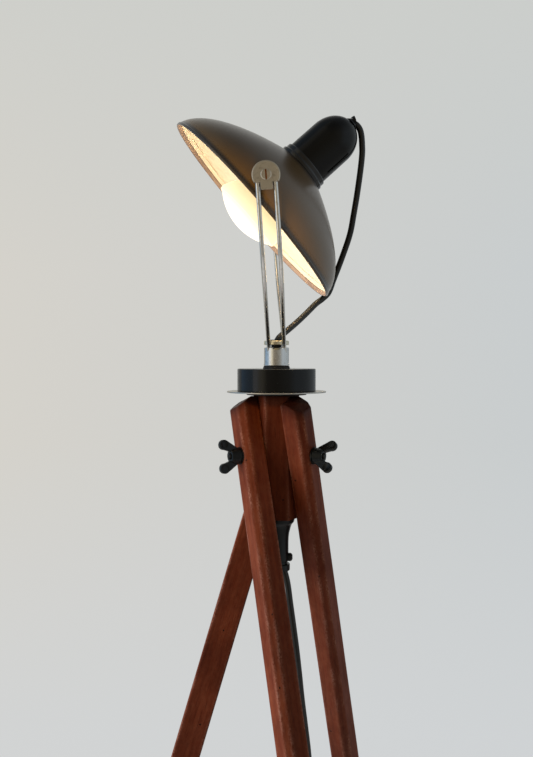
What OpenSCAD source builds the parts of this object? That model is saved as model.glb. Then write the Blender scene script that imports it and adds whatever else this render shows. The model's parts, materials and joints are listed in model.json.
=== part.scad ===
// Tripod floor lamp: a spun dish shade tilts in a wire fork, and the fork turns on a three-legged wooden stand.
// Millimetres. The origin is on the floor under the lamp's axis, +Z is up, and the dish looks down towards -X.

/* [Stand] */
// Height of the round base's top over the floor
stand_h = 1250; // [1100:5:1400]
// Diameter of the round base
base_d = 78.4; // [70:0.2:90]
// Height of the round base
base_h = 22.5; // [16:0.5:30]
// Diameter of the thin steel plate under the base
plate_d = 99; // [92:1:110]
// Thickness of the steel plate
plate_t = 1.2; // [0.8:0.1:2]
// Diameter of the pad between plate and block
pad_d = 60; // [52:1:66]
// Thickness of the pad
pad_t = 2.4; // [1.5:0.1:4]
// Width of the hexagonal block across its flats
block_af = 40; // [38:0.5:44]
// Length of the hexagonal block
block_h = 122.5; // [110:0.5:140]
// Outer diameter of the threaded tube that ties the stack together
tube_d = 10; // [9.6:0.1:10.4]
// Bore of the threaded tube
tube_bore = 7.4; // [7:0.1:7.8]

/* [Legs] */
// Width of a leg, across the direction it swings in
leg_w = 28; // [26:0.5:30]
// Thickness of a leg
leg_t = 21.5; // [19:0.5:24]
// Chamfer on the two outer edges of a leg
leg_chamfer = 5.6; // [4:0.2:7]
// Angle of each leg from vertical
splay = 16.5; // [13:0.5:20]
// Distance from the pad's underside down to the leg pivots
pivot_drop = 58.6; // [58:0.2:62]
// Clearance between a leg's top corner and the pad when it folds
leg_top_gap = 0.4; // [0.3:0.1:2]
// Drop of the bevel on a leg's top end
leg_top_bevel = 9; // [6:0.5:12]
// Flat left on a leg's top end
leg_top_flat = 7; // [2:0.5:10]
// Height of the rubber foot along the leg
foot_h = 38; // [30:1:50]
// Wall of the rubber foot
foot_wall = 1.8; // [1.2:0.2:3]
// Thickness of the rubber under the leg's end
foot_sole = 8; // [7:0.5:12]

/* [Clamps] */
// Diameter of the leg bolts
bolt_d = 6; // [5:0.5:7]
// Depth of a bolt in the block
bolt_depth = 12; // [10:0.5:13]
// Length of bolt end that shows past the wing nut's hub
bolt_show = 1.6; // [1:0.2:4]
// Diameter of the washer under a wing nut
leg_washer_d = 17; // [15:0.5:20]
// Thickness of that washer
leg_washer_t = 1.2; // [0.8:0.1:2]
// Diameter of a wing nut's base
nut_base_d = 16.4; // [14:0.2:18]
// Diameter of a wing nut's hub at its outer end
nut_top_d = 12.4; // [11:0.2:14]
// Height of a wing nut's hub
nut_hub_h = 9.4; // [8:0.2:12]
// Radius of the round lobe on each wing
lobe_r = 5; // [4:0.2:6]
// Distance of a lobe's centre from the bolt's axis
lobe_out = 11.4; // [10:0.2:13]
// Height of a lobe's centre over the nut's base
lobe_up = 15.8; // [14:0.2:18]
// Thickness of a wing
wing_t = 4.6; // [3.6:0.2:6]

/* [Bell] */
// Widest diameter of the bell under the block
bell_d = 36.8; // [34:0.4:40]
// Diameter of the bell's straight lower part
bell_neck_d = 24; // [22:0.4:27]
// Height of the bell
bell_h = 43.4; // [38:0.2:50]
// Wall of the bell
bell_wall = 1.6; // [1.2:0.1:2]
// Outer diameter of the ring at the bell's end
ring_d = 26.8; // [26:0.2:29]
// Height of that ring
ring_h = 6.5; // [5:0.5:9]
// Diameter of the side screw's round head
side_screw_d = 8.3; // [7:0.1:9]

/* [Swivel] */
// Diameter of the fork's steel collar
collar_d = 25; // [24.6:0.1:27]
// Height of the collar
collar_h = 17.7; // [16:0.1:21]
// Height of the black washer under the collar
washer_h = 3; // [2:0.1:4]
// Diameter of the ring nut that holds the collar down
swivel_nut_d = 13; // [12.4:0.1:13.4]
// Height of that ring nut
swivel_nut_h = 4.1; // [3:0.1:5]
// Gap between the collar and the cap disc
cap_gap = 2.5; // [2:0.1:4]
// Thickness of the cap disc
cap_t = 4.3; // [3:0.1:6]
// Diameter of the cord grommet in the cap disc
grommet_d = 10.6; // [10.2:0.1:11.4]

/* [Fork] */
// Diameter of the fork's wires
wire_d = 4; // [3.4:0.2:4.6]
// Distance between the two wires of one arm, centre to centre
wire_gap = 15.5; // [15:0.1:16.4]
// Height of the head's pivot over the collar's top, along the arm
fork_h = 147.8; // [142:0.2:170]
// Lean of the fork from vertical
fork_lean = 4.07; // [0:0.01:8]
// Gap between the shade's rim and a wire
side_gap = 3.5; // [2.5:0.1:8]
// Depth of a wire's foot in the collar
wire_foot = 11; // [8:0.5:13]
// Distance of a wire's foot from the middle of the collar's top
wire_foot_y = 8.2; // [7.8:0.1:8.6]
// Lean of a wire's foot from vertical
wire_foot_lean = 17; // [14:0.5:19]

/* [Pivot] */
// Diameter of the cover over each wire loop
cover_d = 24.8; // [23.6:0.2:28]
// Wall of the cover
cover_wall = 1.5; // [1:0.1:2]
// Distance from the pivot down to the cover's flat lower edge
cover_cut = 6.2; // [5.6:0.1:8]
// Width of the tab between the wires
tab_w = 10.4; // [8:0.1:10.8]
// Distance from the pivot down to the tab's end
tab_drop = 12.9; // [11:0.1:15]
// Diameter of the pivot screw's shank
pivot_screw_d = 5; // [4:0.2:6]
// Diameter of the pivot screw's head
pivot_head_d = 9.6; // [8.4:0.2:11]
// Height of the pivot screw's head
pivot_head_h = 2; // [1.6:0.1:3]
// Diameter of the boss through the shade's wall
boss_d = 13; // [11:0.2:15]

/* [Shade] */
// Outer diameter of the rim
rim_d = 224; // [216:1:236]
// Height of the black rim band
rim_h = 7.5; // [6:0.5:9]
// Wall of the rim band
rim_wall = 2; // [1.5:0.1:3]
// Depth of the dish, from the mouth to the flat at its crown
dish_depth = 62.8; // [58:0.2:70]
// Diameter of the flat at the dish's crown
crown_d = 56.6; // [56:0.2:62]
// Wall of the dish
dish_wall = 1.2; // [1:0.1:2]
// Distance of the pivot behind the mouth
pivot_back = 17.7; // [16:0.1:24]
// Angle of the dish's axis from vertical at rest
head_lean = 48.24; // [40:0.01:60]

/* [Lampholder] */
// Diameter of the flange ring that clamps the shade
flange_d = 54.6; // [52:0.2:56]
// Height of the flange ring
flange_h = 9.5; // [8:0.1:12]
// Diameter of the housing
housing_d = 48.6; // [46:0.2:50]
// Height of the housing's straight part
housing_h = 32.5; // [30:0.5:40]
// Height of the housing's domed end
dome_h = 28; // [25:0.5:32]
// Wall of the housing
housing_wall = 2.6; // [2:0.1:3.4]
// Width of a vent slot
vent_w = 1.8; // [1.2:0.1:3]
// Length of a vent slot
vent_l = 28; // [20:1:30]
// Diameter of the bulb at its widest
bulb_d = 78; // [70:1:84]
// Distance of the bulb's tip in front of the mouth
bulb_out = 21; // [18:1:24]
// Length of the bulb's glass
bulb_len = 86; // [84:1:90]

/* [Hidden] */
$fn = 96;

// Clearances
run = 0.06;         // radial play of a turning fit
part_gap = 0.3;     // play between faces of pieces that move apart
wire_play = 0.1;    // radial play of a wire in its hole
cut = 1;            // how far a cutting tool runs past the face it opens

// Levels of the stack, from the round base's top
base_top = stand_h;
plate_top = base_top - base_h;
pad_top = plate_top - plate_t;
block_top = pad_top - pad_t;
block_end = block_top - block_h;
pivot_z = block_top - pivot_drop;
tube_r = tube_d / 2;
tube_hole_r = tube_r + run;

// Legs: each has its bolt along a normal of the block, 120 degrees apart
leg_angle = [210, 330, 90];
leg_in = block_af / 2;
leg_out = leg_in + leg_t;
leg_len = pivot_z / cos(splay);
leg_top_r = pivot_drop - leg_top_gap;
leg_top = sqrt(leg_top_r * leg_top_r - leg_w * leg_w / 4);
bolt_r = bolt_d / 2;
bolt_in = leg_in - bolt_depth;
nut_seat = leg_out + leg_washer_t + part_gap;
bolt_end = nut_seat + nut_hub_h + bolt_show;
nut_turn = [5, -30, 20];    // how far each wing nut happens to be turned

// Bell
bell_top_t = 2;
bell_curve = [[0, 0], [0.11, 3.9], [0.49, 6.6], [0.67, 9.9], [0.875, 15], [0.97, 20], [1, 25]]; // share, depth
bell_end = block_end - bell_h;
ring_neck_h = 2.5;
ring_neck_r = bell_neck_d / 2 - bell_wall + 0.6;
ring_top = bell_end - ring_neck_h;
ring_end = ring_top - ring_h;
side_screw_z = bell_end + 3.6;
side_screw_out = 4;
side_screw_shank = 3.6;
side_screw_reach = 3;
tube_nut_h = 6;
tube_nut_af = 15;
tube_end = block_end - bell_top_t - tube_nut_h - 4;

// Swivel
washer_flare = 1.2;
collar_foot = base_top + washer_h + part_gap;
collar_top = collar_foot + collar_h;
nut_recess = swivel_nut_h + part_gap + 0.6;
nut_foot = collar_top - nut_recess + part_gap;
tube_top = nut_foot + swivel_nut_h;
saddle_r = 6.5;
saddle_depth = 2.6;
cap_foot = collar_top + cap_gap;
cap_top = cap_foot + cap_t;
grommet_foot = tube_top + part_gap;
grommet_lip = 1;
grommet_flare = 3.4;        // how much wider the grommet's lip is than its neck

// Fork: the pivot's place follows from the arm's height and lean
wire_r = wire_d / 2;
wire_half = wire_gap / 2;
rim_r = rim_d / 2;
fork_reach = rim_r + side_gap + wire_r;
pivot_x = -fork_h * sin(fork_lean);
head_z = collar_top + fork_h * cos(fork_lean);
arm_from = 107;             // height over the collar's top at which an arm runs straight
pull_foot = 30;             // how strongly the arm's bend holds on to the direction of its foot
pull_arm = 60;              // and to the direction of the straight arm
bend_steps = 16;
loop_steps = 14;
wire_sides = 12;

// Pivot, measured along its axis from the lamp's middle
loop_in = fork_reach - wire_r;
loop_out = fork_reach + wire_r;
cover_face = loop_out + wire_play;
cover_lip = 2;
cover_lip_h = 0.5;
cover_seat = cover_face + cover_wall - 0.1;     // the face inside the raised lip
pivot_washer_t = 0.8;
pivot_washer_d = 18;
boss_end = loop_in - pivot_washer_t - part_gap;
boss_len = 20;
boss_start = boss_end - boss_len;
pivot_nut_t = 4;
pivot_nut_af = 8;
pivot_tip = boss_start - part_gap - pivot_nut_t - 1;
pivot_shank_r = pivot_screw_d / 2;
screw_slot_w = 1.5;
screw_slot_d = 1;

// Head, measured along its axis from the pivot, positive towards the crown
mouth = -pivot_back;
rim_lip = 1;
dish_start = mouth - rim_lip + rim_h;
crown = mouth + dish_depth;
dish_bow = 0.886;           // share of the dish's curve that bends, the rest is a cone
dish_steps = 28;
flange_end = crown + flange_h;
housing_end = flange_end + housing_h;
dome_end = housing_end + dome_h;
housing_r = housing_d / 2;
dome_r = housing_r - 0.3;
flange_groove = 1.2;
crown_hole_r = 20.6;
clamp_r = crown_hole_r - 0.1;
vent_angle = [62.5, 104, 242.5, 284];
vent_view = -90;            // the vents' angles count from the side that looks towards -Y
cord_d = 6.2;
cord_r = cord_d / 2;
gland_hole_r = cord_r + 0.6;
gland_wall = 0.8;
gland_base_r = 7;
gland_sink = 2.6;
gland_base_h = 2.5;
gland_neck_r = 4.9;
gland_neck_h = 3.2;
gland_overlap = 1;
gland_turn = 25;            // how far the gland's collar leans with the cord
cap_len = 27;
cap_r = 13;
bulb_tip = mouth - bulb_out;
bulb_dome_r = 60;
bulb_edge = 3;              // width of the bulb's round shoulder
bulb_neck_r = 15;
bulb_foot = bulb_tip + bulb_len;
bulb_neck_len = 24;
bulb_neck = bulb_foot - bulb_neck_len;
glass_in_cap = 2;           // how far the glass reaches into its cap
cap_end = bulb_foot + cap_len - 3;
shell_wall = 0.6;
glass_wall = 0.8;
shell_play = 0.4;
holder_r = 19;
holder_neck_r = 6;
holder_skirt = 14;          // how far the screw shell stands out of the porcelain
holder_start = bulb_foot + 6;
holder_rest = 5;            // from the porcelain's end up to the end of the housing's straight part
holder_end = housing_end - holder_rest;
holder_rim = 3;             // from the porcelain's wide rim up to the same end
holder_rim_h = 5;

// Points of the cord's routes, chosen by hand.
// The upper cord counts from the lamp's axis and the round base's top, and runs from the lampholder to the cap.
upper_route = [[62.7, 0, 233.7], [67.5, 0, 238], [71.9, 0, 241.9], [75.5, 0, 244.4], [78.8, 0.2, 244.4],
    [81.7, 0.6, 242], [83.9, 1.1, 238.2], [85.2, 1.8, 232.6], [85.9, 3.2, 225], [86.2, 5, 216],
    [85.1, 9.8, 201], [82.6, 17, 179], [79.6, 23.5, 158], [76.2, 30, 138], [68.2, 36.6, 113.5], [60.2, 39, 92.5],
    [55, 38.8, 79], [48, 36.4, 71.8], [41.2, 32.8, 66.6], [30.6, 25.2, 56], [21.8, 17.8, 47.6], [13.6, 10.2, 40.4],
    [8.6, 6.2, 36.2], [5, 3.5, 33.2], [2.6, 1.8, 30.9], [1.1, 0.7, 28.6], [0.3, 0.2, 26.2], [0, 0, 24],
    [0, 0, 21.8]];
// The lower cord counts from the floor under the axis, and runs from the tube's lower end to the coil.
lower_route = [[0, 0, 1089.5], [0, 0, 1083], [0.8, 0, 1075], [2.6, 0, 1066], [5.2, 0, 1056.8], [7.8, 0, 1048],
    [10.0, 0, 1040], [11.8, 0, 1030], [13.3, 0, 1018], [16.6, 0.8, 994], [20, 2.6, 968], [22.9, 6.8, 942],
    [25.7, 12.2, 915], [29.5, 18.6, 884], [33.2, 25, 852], [36.2, 30.6, 810], [38.4, 35, 750], [40, 38.4, 650],
    [41, 40, 550], [41.6, 41, 450], [42, 42, 350], [42, 42, 250], [42, 42, 150], [42, 42, 90], [42.4, 43, 60],
    [43.8, 46.6, 35], [47, 54.6, 15.6], [53, 67, 6], [61, 82, 3.2], [69, 99, 3.1], [75, 115, 3.1],
    [77.2, 130, 3.1]];
// The tail counts from the floor too, and runs from the coil's top turn to the plug.
tail_route = [[40, 167.2, 21.7], [28, 167.2, 21.7], [16, 167.2, 21.1], [4, 167.2, 20], [-8, 167.2, 19],
    [-18, 167.2, 18.5], [-28, 167.2, 18.4]];
cord_sides = 10;
coil_at = [40, 130];
coil_r = 34.1;
coil_w = 12.4;
coil_h = 23.6;
coil_lift = 0.6;
coil_round = 2.6;
tie_w = 9;
tie_t = 0.8;
plug_at = [-28, 167.2, 18.4];
plug_r = 17.8;
pin_r = 2.4;
pin_gap = 19;
pin_len = 19;
boot_len = 26;
plug_len = 36;
plug_waist = 12;
plug_grip_r = 15;
plug_shoulder = 23;

// ---------- helpers ----------

// Points of a smooth curve through the points p, with k steps between neighbours
function through(a, b, c, d, t) = 0.5 * (2 * b + (c - a) * t + (2 * a - 5 * b + 4 * c - d) * t * t
    + (3 * b - a - 3 * c + d) * t * t * t);
function smooth(p, k) = [for (i = [0 : len(p) - 2], j = [0 : k - 1])
        through(p[max(i - 1, 0)], p[i], p[i + 1], p[min(i + 2, len(p) - 1)], j / k), p[len(p) - 1]];

// Directions along a path, and beside it without twist
function unit(v) = v / norm(v);
function along(p) = [for (i = [0 : len(p) - 1]) unit(p[min(i + 1, len(p) - 1)] - p[max(i - 1, 0)])];
function beside(v, t) = unit(v - (v * t) * t);
function sides(t, first) = [for (i = 0, v = beside(first, t[0]); i < len(t);
        i = i + 1, v = i < len(t) ? beside(v, t[i]) : v) v];

// Round tube of radius r swept along the path p
module sweep(p, r, n, first = [0, 1, 0]) {
    t = along(p);
    a = sides(t, first);
    m = len(p);
    points = [for (i = [0 : m - 1], j = [0 : n - 1])
        p[i] + r * (cos(360 * j / n) * a[i] + sin(360 * j / n) * cross(t[i], a[i]))];
    walls = [for (i = [0 : m - 2], j = [0 : n - 1]) let (k = (j + 1) % n)
        [i * n + j, (i + 1) * n + j, (i + 1) * n + k, i * n + k]];
    ends = [[for (j = [0 : n - 1]) j], [for (j = [n - 1 : -1 : 0]) (m - 1) * n + j]];
    polyhedron(points, concat(walls, ends), convexity = 8);
}

// Frame of a leg's bolt: x runs out along the bolt, y the way the leg splays
module at_bolt(i) translate([0, 0, pivot_z]) rotate([0, 0, leg_angle[i]]) children();
// Frame of a leg: as its bolt's, with z up along the leg
module on_leg(i) at_bolt(i) rotate([splay, 0, 0]) children();
// Frame of the fork, at the collar's top
module in_fork() translate([0, 0, collar_top]) rotate([0, -fork_lean, 0]) children();
// Frame of the pivot's outer end on one side: z out along the pivot, y up the arm
module at_pivot(side) in_fork() translate([0, 0, fork_h]) rotate([90, 0, side > 0 ? 180 : 0]) children();
// Frame of the head: z from the pivot to the crown, x to the rim's lowest point
module in_head() translate([pivot_x, 0, head_z]) rotate([0, head_lean, 0]) children();

module ring(r_out, r_in, h) difference() {
    cylinder(r = r_out, h = h);
    translate([0, 0, -cut]) cylinder(r = r_in, h = h + 2 * cut);
}

// ---------- stand ----------

module hex_block() color("saddlebrown") translate([0, 0, block_end]) difference() {
    cylinder(r = block_af / sqrt(3), h = block_h, $fn = 6);
    translate([0, 0, -cut]) cylinder(r = tube_hole_r, h = block_h + 2 * cut);
    for (n = leg_angle) translate([0, 0, pivot_z - block_end]) rotate([0, 0, n])
        translate([bolt_in, 0, 0]) rotate([0, 90, 0]) cylinder(r = bolt_r, h = bolt_depth + cut);
}

module top_plate() color("lightgray") translate([0, 0, pad_top])
    ring(plate_d / 2, tube_hole_r, plate_t);

module plate_pad() color("black") translate([0, 0, block_top]) ring(pad_d / 2, tube_hole_r, pad_t);

module round_base() color([0.05, 0.05, 0.06]) translate([0, 0, plate_top]) difference() {
    rotate_extrude() polygon([[0, 0], [base_d / 2 - 0.8, 0], [base_d / 2, 0.8], [base_d / 2, base_h - 1.4],
        [base_d / 2 - 0.5, base_h - 0.4], [base_d / 2 - 1.6, base_h], [0, base_h]]);
    translate([0, 0, -cut]) cylinder(r = tube_hole_r, h = base_h + 2 * cut);
}

module base_washer() color("black") translate([0, 0, base_top]) difference() {
    cylinder(r1 = collar_d / 2 + washer_flare, r2 = collar_d / 2, h = washer_h);
    translate([0, 0, -cut]) cylinder(r = tube_hole_r, h = washer_h + 2 * cut);
}

module tie_tube() color("goldenrod") translate([0, 0, tube_end])
    ring(tube_r, tube_bore / 2, tube_top - tube_end);

module swivel_nut() color("gold") translate([0, 0, nut_foot])
    ring(swivel_nut_d / 2, tube_hole_r, swivel_nut_h);

module tube_nut() color("silver") translate([0, 0, block_end - bell_top_t - tube_nut_h]) difference() {
    cylinder(r = tube_nut_af / sqrt(3), h = tube_nut_h, $fn = 6);
    translate([0, 0, -cut]) cylinder(r = tube_hole_r, h = tube_nut_h + 2 * cut);
}

// The bell's outline is its mouth's flare, scaled to the step between its two diameters
function bell_outer(wall) = [for (p = bell_curve)
    [bell_d / 2 - wall - p[0] * (bell_d - bell_neck_d) / 2, -p[1]]];

module bell() color([0.08, 0.08, 0.09]) translate([0, 0, block_end]) difference() {
    rotate_extrude() polygon(concat([[0, 0]], bell_outer(0), [[bell_neck_d / 2, -bell_h], [0, -bell_h]]));
    intersection() {
        rotate_extrude() polygon(concat([[0, 0]], bell_outer(bell_wall),
            [[bell_neck_d / 2 - bell_wall, -bell_h - cut], [0, -bell_h - cut]]));
        translate([0, 0, -bell_h - cut]) cylinder(r = bell_d, h = bell_h + cut - bell_top_t);
    }
    translate([0, 0, -bell_top_t - cut]) cylinder(r = tube_hole_r, h = bell_top_t + 2 * cut);
    translate([0, 0, side_screw_z - block_end]) rotate([0, 90, 0])
        cylinder(r = side_screw_shank / 2, h = bell_neck_d);
}

module bell_ring() color([0.1, 0.1, 0.1]) translate([0, 0, ring_end]) rotate_extrude() polygon([
    [ring_d / 2 - 1.3, 0], [ring_d / 2 - 0.4, 0], [ring_d / 2, 0.5], [ring_d / 2, ring_h - 0.5],
    [ring_d / 2 - 0.5, ring_h], [ring_neck_r, ring_h], [ring_neck_r, ring_h + ring_neck_h],
    [ring_neck_r - 1.4, ring_h + ring_neck_h], [ring_neck_r - 1.4, ring_h], [ring_d / 2 - 1.3, ring_h - 1.2]]);

module bell_screw() color("black") translate([0, 0, side_screw_z]) difference() {
    rotate([0, 90, 0]) rotate_extrude() polygon([[0, bell_neck_d / 2 - side_screw_reach],
        [side_screw_shank / 2, bell_neck_d / 2 - side_screw_reach], [side_screw_shank / 2, bell_neck_d / 2 - 1],
        [side_screw_d / 2, bell_neck_d / 2 - 1], [side_screw_d / 2, bell_neck_d / 2 + side_screw_out - 2],
        [side_screw_d / 2 - 0.7, bell_neck_d / 2 + side_screw_out - 0.8],
        [side_screw_d / 2 - 2, bell_neck_d / 2 + side_screw_out], [0, bell_neck_d / 2 + side_screw_out]]);
    intersection() {
        translate([0, 0, -side_screw_d]) ring(bell_neck_d / 2, bell_neck_d / 2 - bell_wall, 2 * side_screw_d);
        rotate([0, 90, 0]) ring(side_screw_d, side_screw_shank / 2, bell_neck_d);
    }
}

module bolt(i) color("dimgray") at_bolt(i) rotate([0, 90, 0]) union() {
    translate([0, 0, bolt_in]) cylinder(r = bolt_r, h = bolt_end - bolt_in - 0.8);
    translate([0, 0, bolt_end - 0.8]) cylinder(r1 = bolt_r, r2 = bolt_r - 0.8, h = 0.8);
}

// ---------- legs ----------

// Cross-section of a leg, grown on all sides: x out from the block, y across
module leg_outline(grow = 0) {
    x0 = leg_in - grow;
    x1 = leg_out + grow;
    y = leg_w / 2 + grow;
    polygon([[x0, -y], [x1 - leg_chamfer, -y], [x1, leg_chamfer - y], [x1, y - leg_chamfer],
        [x1 - leg_chamfer, y], [x0, y]]);
}

module leg(i) color("sienna") on_leg(i) difference() {
    intersection() {
        translate([0, 0, foot_sole - leg_len]) linear_extrude(leg_len + leg_top - foot_sole) leg_outline();
        rotate([90, 0, 0]) linear_extrude(leg_w + 2 * cut, center = true) polygon([
            [leg_in - cut, foot_sole - leg_len - cut], [leg_in - cut, leg_top],
            [leg_in + leg_top_flat, leg_top], [leg_out, leg_top - leg_top_bevel],
            [leg_out + cut, leg_top - leg_top_bevel - cut], [leg_out + cut, foot_sole - leg_len - cut]]);
    }
    translate([leg_in - cut, 0, 0]) rotate([0, 90, 0]) cylinder(r = bolt_r + run, h = leg_t + 2 * cut);
}

module foot(i) color([0.15, 0.15, 0.15]) difference() {
    intersection() {
        on_leg(i) translate([0, 0, -leg_len - foot_sole])
            linear_extrude(foot_h + foot_sole) leg_outline(foot_wall);
        cylinder(r = leg_len, h = foot_h + foot_sole);
    }
    on_leg(i) translate([0, 0, foot_sole - leg_len]) linear_extrude(foot_h) leg_outline();
}

module leg_washer(i) color("gray") at_bolt(i) translate([leg_out, 0, 0]) rotate([0, 90, 0])
    ring(leg_washer_d / 2, bolt_r + run, leg_washer_t);

// Wings rise from the hub's foot to a round lobe on each side
module wing_nut(i) color("black") at_bolt(i) translate([nut_seat, 0, 0]) rotate([0, 90, 0])
rotate([0, 0, nut_turn[i]]) difference() {
    union() {
        cylinder(d1 = nut_base_d, d2 = nut_top_d, h = nut_hub_h);
        rotate([90, 0, 0]) linear_extrude(wing_t, center = true) for (s = [-1, 1]) {
            translate([s * lobe_out, lobe_up]) circle(r = lobe_r);
            polygon([[s * 3, 2], [s * nut_base_d * 0.47, 1.6],
                [s * (lobe_out + lobe_r * 0.8), lobe_up - lobe_r * 0.6],
                [s * (lobe_out - lobe_r * 0.7), lobe_up + lobe_r * 0.72],
                [s * nut_top_d * 0.36, nut_hub_h + 0.6], [s * 3, nut_hub_h - 1]]);
        }
    }
    translate([0, 0, -cut]) cylinder(r = bolt_r + run, h = nut_hub_h + 3 * cut);
}

// ---------- fork ----------

// Tilted bores for the four wire feet, in the fork's frame
module wire_bores(r, from, to) for (x = [-1, 1], y = [-1, 1])
    translate([x * wire_half, y * wire_foot_y, 0]) rotate([-y * wire_foot_lean, 0, 0])
        translate([0, 0, from]) cylinder(r = r, h = to - from);

module fork_collar() color("silver") difference() {
    translate([0, 0, collar_foot]) rotate_extrude() polygon([[tube_hole_r, 0], [collar_d / 2 + 0.5, 0],
        [collar_d / 2 + 0.4, 0.8], [collar_d / 2, 1.8], [collar_d / 2, collar_h - 0.5],
        [collar_d / 2 - 0.5, collar_h], [tube_hole_r, collar_h]]);
    translate([0, 0, collar_top - nut_recess])
        cylinder(r = swivel_nut_d / 2 + part_gap, h = nut_recess + cut);
    translate([0, 0, collar_top + saddle_r - saddle_depth]) rotate([90, 0, 0])
        cylinder(r = saddle_r, h = collar_d + 2 * cut, center = true);
    in_fork() wire_bores(wire_r + wire_play, -wire_foot, 2 * wire_r);
}

// The cap disc is notched where the four wires pass it
module fork_cap() color("gold") difference() {
    translate([0, 0, cap_foot]) rotate_extrude() polygon([[grommet_d / 2, 0], [collar_d / 2 - 0.5, 0],
        [collar_d / 2, 0.5], [collar_d / 2, cap_t - 0.7], [collar_d / 2 - 0.7, cap_t], [grommet_d / 2, cap_t]]);
    in_fork() for (x = [-1, 1], y = [-1, 1]) translate([x * wire_half, y * wire_foot_y, 0])
        rotate([-y * (wire_foot_lean + 8), 0, 0]) cylinder(r = wire_r + 3 * wire_play, h = 6 * cap_t);
}

module cord_grommet() color("black") translate([0, 0, grommet_foot]) difference() {
    union() {
        cylinder(d = grommet_d, h = cap_top - grommet_foot);
        translate([0, 0, cap_top - grommet_foot]) cylinder(d = grommet_d + grommet_flare, h = grommet_lip);
    }
    translate([0, 0, -cut]) cylinder(r = cord_r + 0.3, h = cap_top - grommet_foot + 2 * cut);
    translate([0, 0, 1])
        cylinder(r1 = cord_r + 0.3, r2 = grommet_d / 2 - 0.6, h = cap_top - grommet_foot - 0.99);
    translate([0, 0, cap_top - grommet_foot])
        cylinder(d1 = grommet_d - 1.2, d2 = grommet_d + grommet_flare - 1, h = grommet_lip + 0.01);
}

// One arm is one wire: from its foot in the collar out and up, round the pivot, and down again
function bezier(a, b, c, d, t) = a * pow(1 - t, 3) + 3 * b * t * pow(1 - t, 2)
    + 3 * c * t * t * (1 - t) + d * t * t * t;
foot_dir = [sin(wire_foot_lean), cos(wire_foot_lean)];
bend_a = [wire_foot_y, 0];
bend_d = [fork_reach, arm_from];
arm_points = concat([bend_a - (wire_foot - 0.4) * foot_dir],
    [for (i = [0 : bend_steps]) bezier(bend_a, bend_a + pull_foot * foot_dir, bend_d - [0, pull_arm], bend_d,
        i / bend_steps)]);
function arm(x, side) = [for (p = arm_points) [x, side * p[0], p[1]]];
function back(p) = [for (i = [len(p) - 1 : -1 : 0]) p[i]];

module fork_wire(side) color("silver") in_fork() sweep(concat(arm(-wire_half, side),
    [for (i = [0 : loop_steps]) [-wire_half * cos(180 * i / loop_steps), side * fork_reach,
        fork_h + wire_half * sin(180 * i / loop_steps)]],
    back(arm(wire_half, side))), wire_r, wire_sides, [1, 0, 0]);

// ---------- pivot ----------

// A flat cup over the wire loop, open below for the wires, with a tab between them
module pivot_cover(side) color([0.75, 0.72, 0.68]) at_pivot(side) difference() {
    union() {
        difference() {
            union() {
                translate([0, 0, loop_in + 1])
                    cylinder(d = cover_d, h = cover_face + cover_wall - loop_in - 1);
                translate([0, 0, cover_face + cover_wall])
                    cylinder(d1 = cover_d - 0.6, d2 = cover_d - 1.4, h = cover_lip_h);
            }
            translate([0, 0, loop_in]) cylinder(d = cover_d - 2 * cover_wall, h = cover_face - loop_in);
            translate([0, 0, cover_seat]) cylinder(d = cover_d - 2 * cover_lip, h = cut);
            translate([-cover_d, -cover_cut - cover_d, loop_in]) cube([2 * cover_d, cover_d, cover_d]);
            for (s = [-1, 1]) translate([s * wire_half - wire_r - wire_play, -cover_d, loop_in - cut])
                cube([2 * (wire_r + wire_play), cover_d - 3, cover_face - loop_in + cut]);
        }
        translate([-tab_w / 2, tab_w / 2 - tab_drop, cover_face])
            cube([tab_w, tab_drop - tab_w / 2 - cover_cut + 1, cover_seat - cover_face]);
        translate([0, tab_w / 2 - tab_drop, cover_face]) cylinder(d = tab_w, h = cover_seat - cover_face);
        translate([0, 0, loop_in])
            cylinder(r = wire_half - wire_r - wire_play, h = cover_face - loop_in + cover_wall / 2);
    }
    translate([0, 0, loop_in - cut])
        cylinder(r = pivot_shank_r, h = loop_out - loop_in + 3 * cut + cover_wall);
}

module pivot_screw(side) color([0.8, 0.78, 0.74]) at_pivot(side) difference() {
    union() {
        translate([0, 0, pivot_tip]) cylinder(r = pivot_shank_r, h = cover_seat - pivot_tip);
        translate([0, 0, cover_seat]) rotate_extrude() polygon([[0, 0], [pivot_head_d / 2, 0],
            [pivot_head_d / 2, pivot_head_h - 0.6], [pivot_head_d / 2 - 0.8, pivot_head_h], [0, pivot_head_h]]);
    }
    translate([-screw_slot_w / 2, -pivot_head_d, cover_seat + pivot_head_h - screw_slot_d])
        cube([screw_slot_w, 2 * pivot_head_d, 2 * screw_slot_d]);
}

module pivot_washer(side) color("dimgray") at_pivot(side) translate([0, 0, loop_in - pivot_washer_t])
    ring(pivot_washer_d / 2, pivot_shank_r, pivot_washer_t);

module pivot_nut(side) color("silver") at_pivot(side)
    translate([0, 0, boss_start - part_gap - pivot_nut_t]) difference() {
        cylinder(r = pivot_nut_af / sqrt(3), h = pivot_nut_t, $fn = 6);
        translate([0, 0, -cut]) cylinder(r = pivot_shank_r, h = pivot_nut_t + 2 * cut);
    }

// ---------- head ----------

// Radius of the dish at a depth of u, from 0 at the mouth to 1 at the crown
function dish_r(u) = rim_r - 0.5 - (rim_r - 0.5 - crown_d / 2) * ((1 - dish_bow) * u + dish_bow * u * u);
dish_from = (dish_start - mouth) / dish_depth;
function dish_at(u, wall) =
    [dish_r(u) - wall, mouth + u * dish_depth - wall * (u - dish_from) / (1 - dish_from)];

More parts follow.
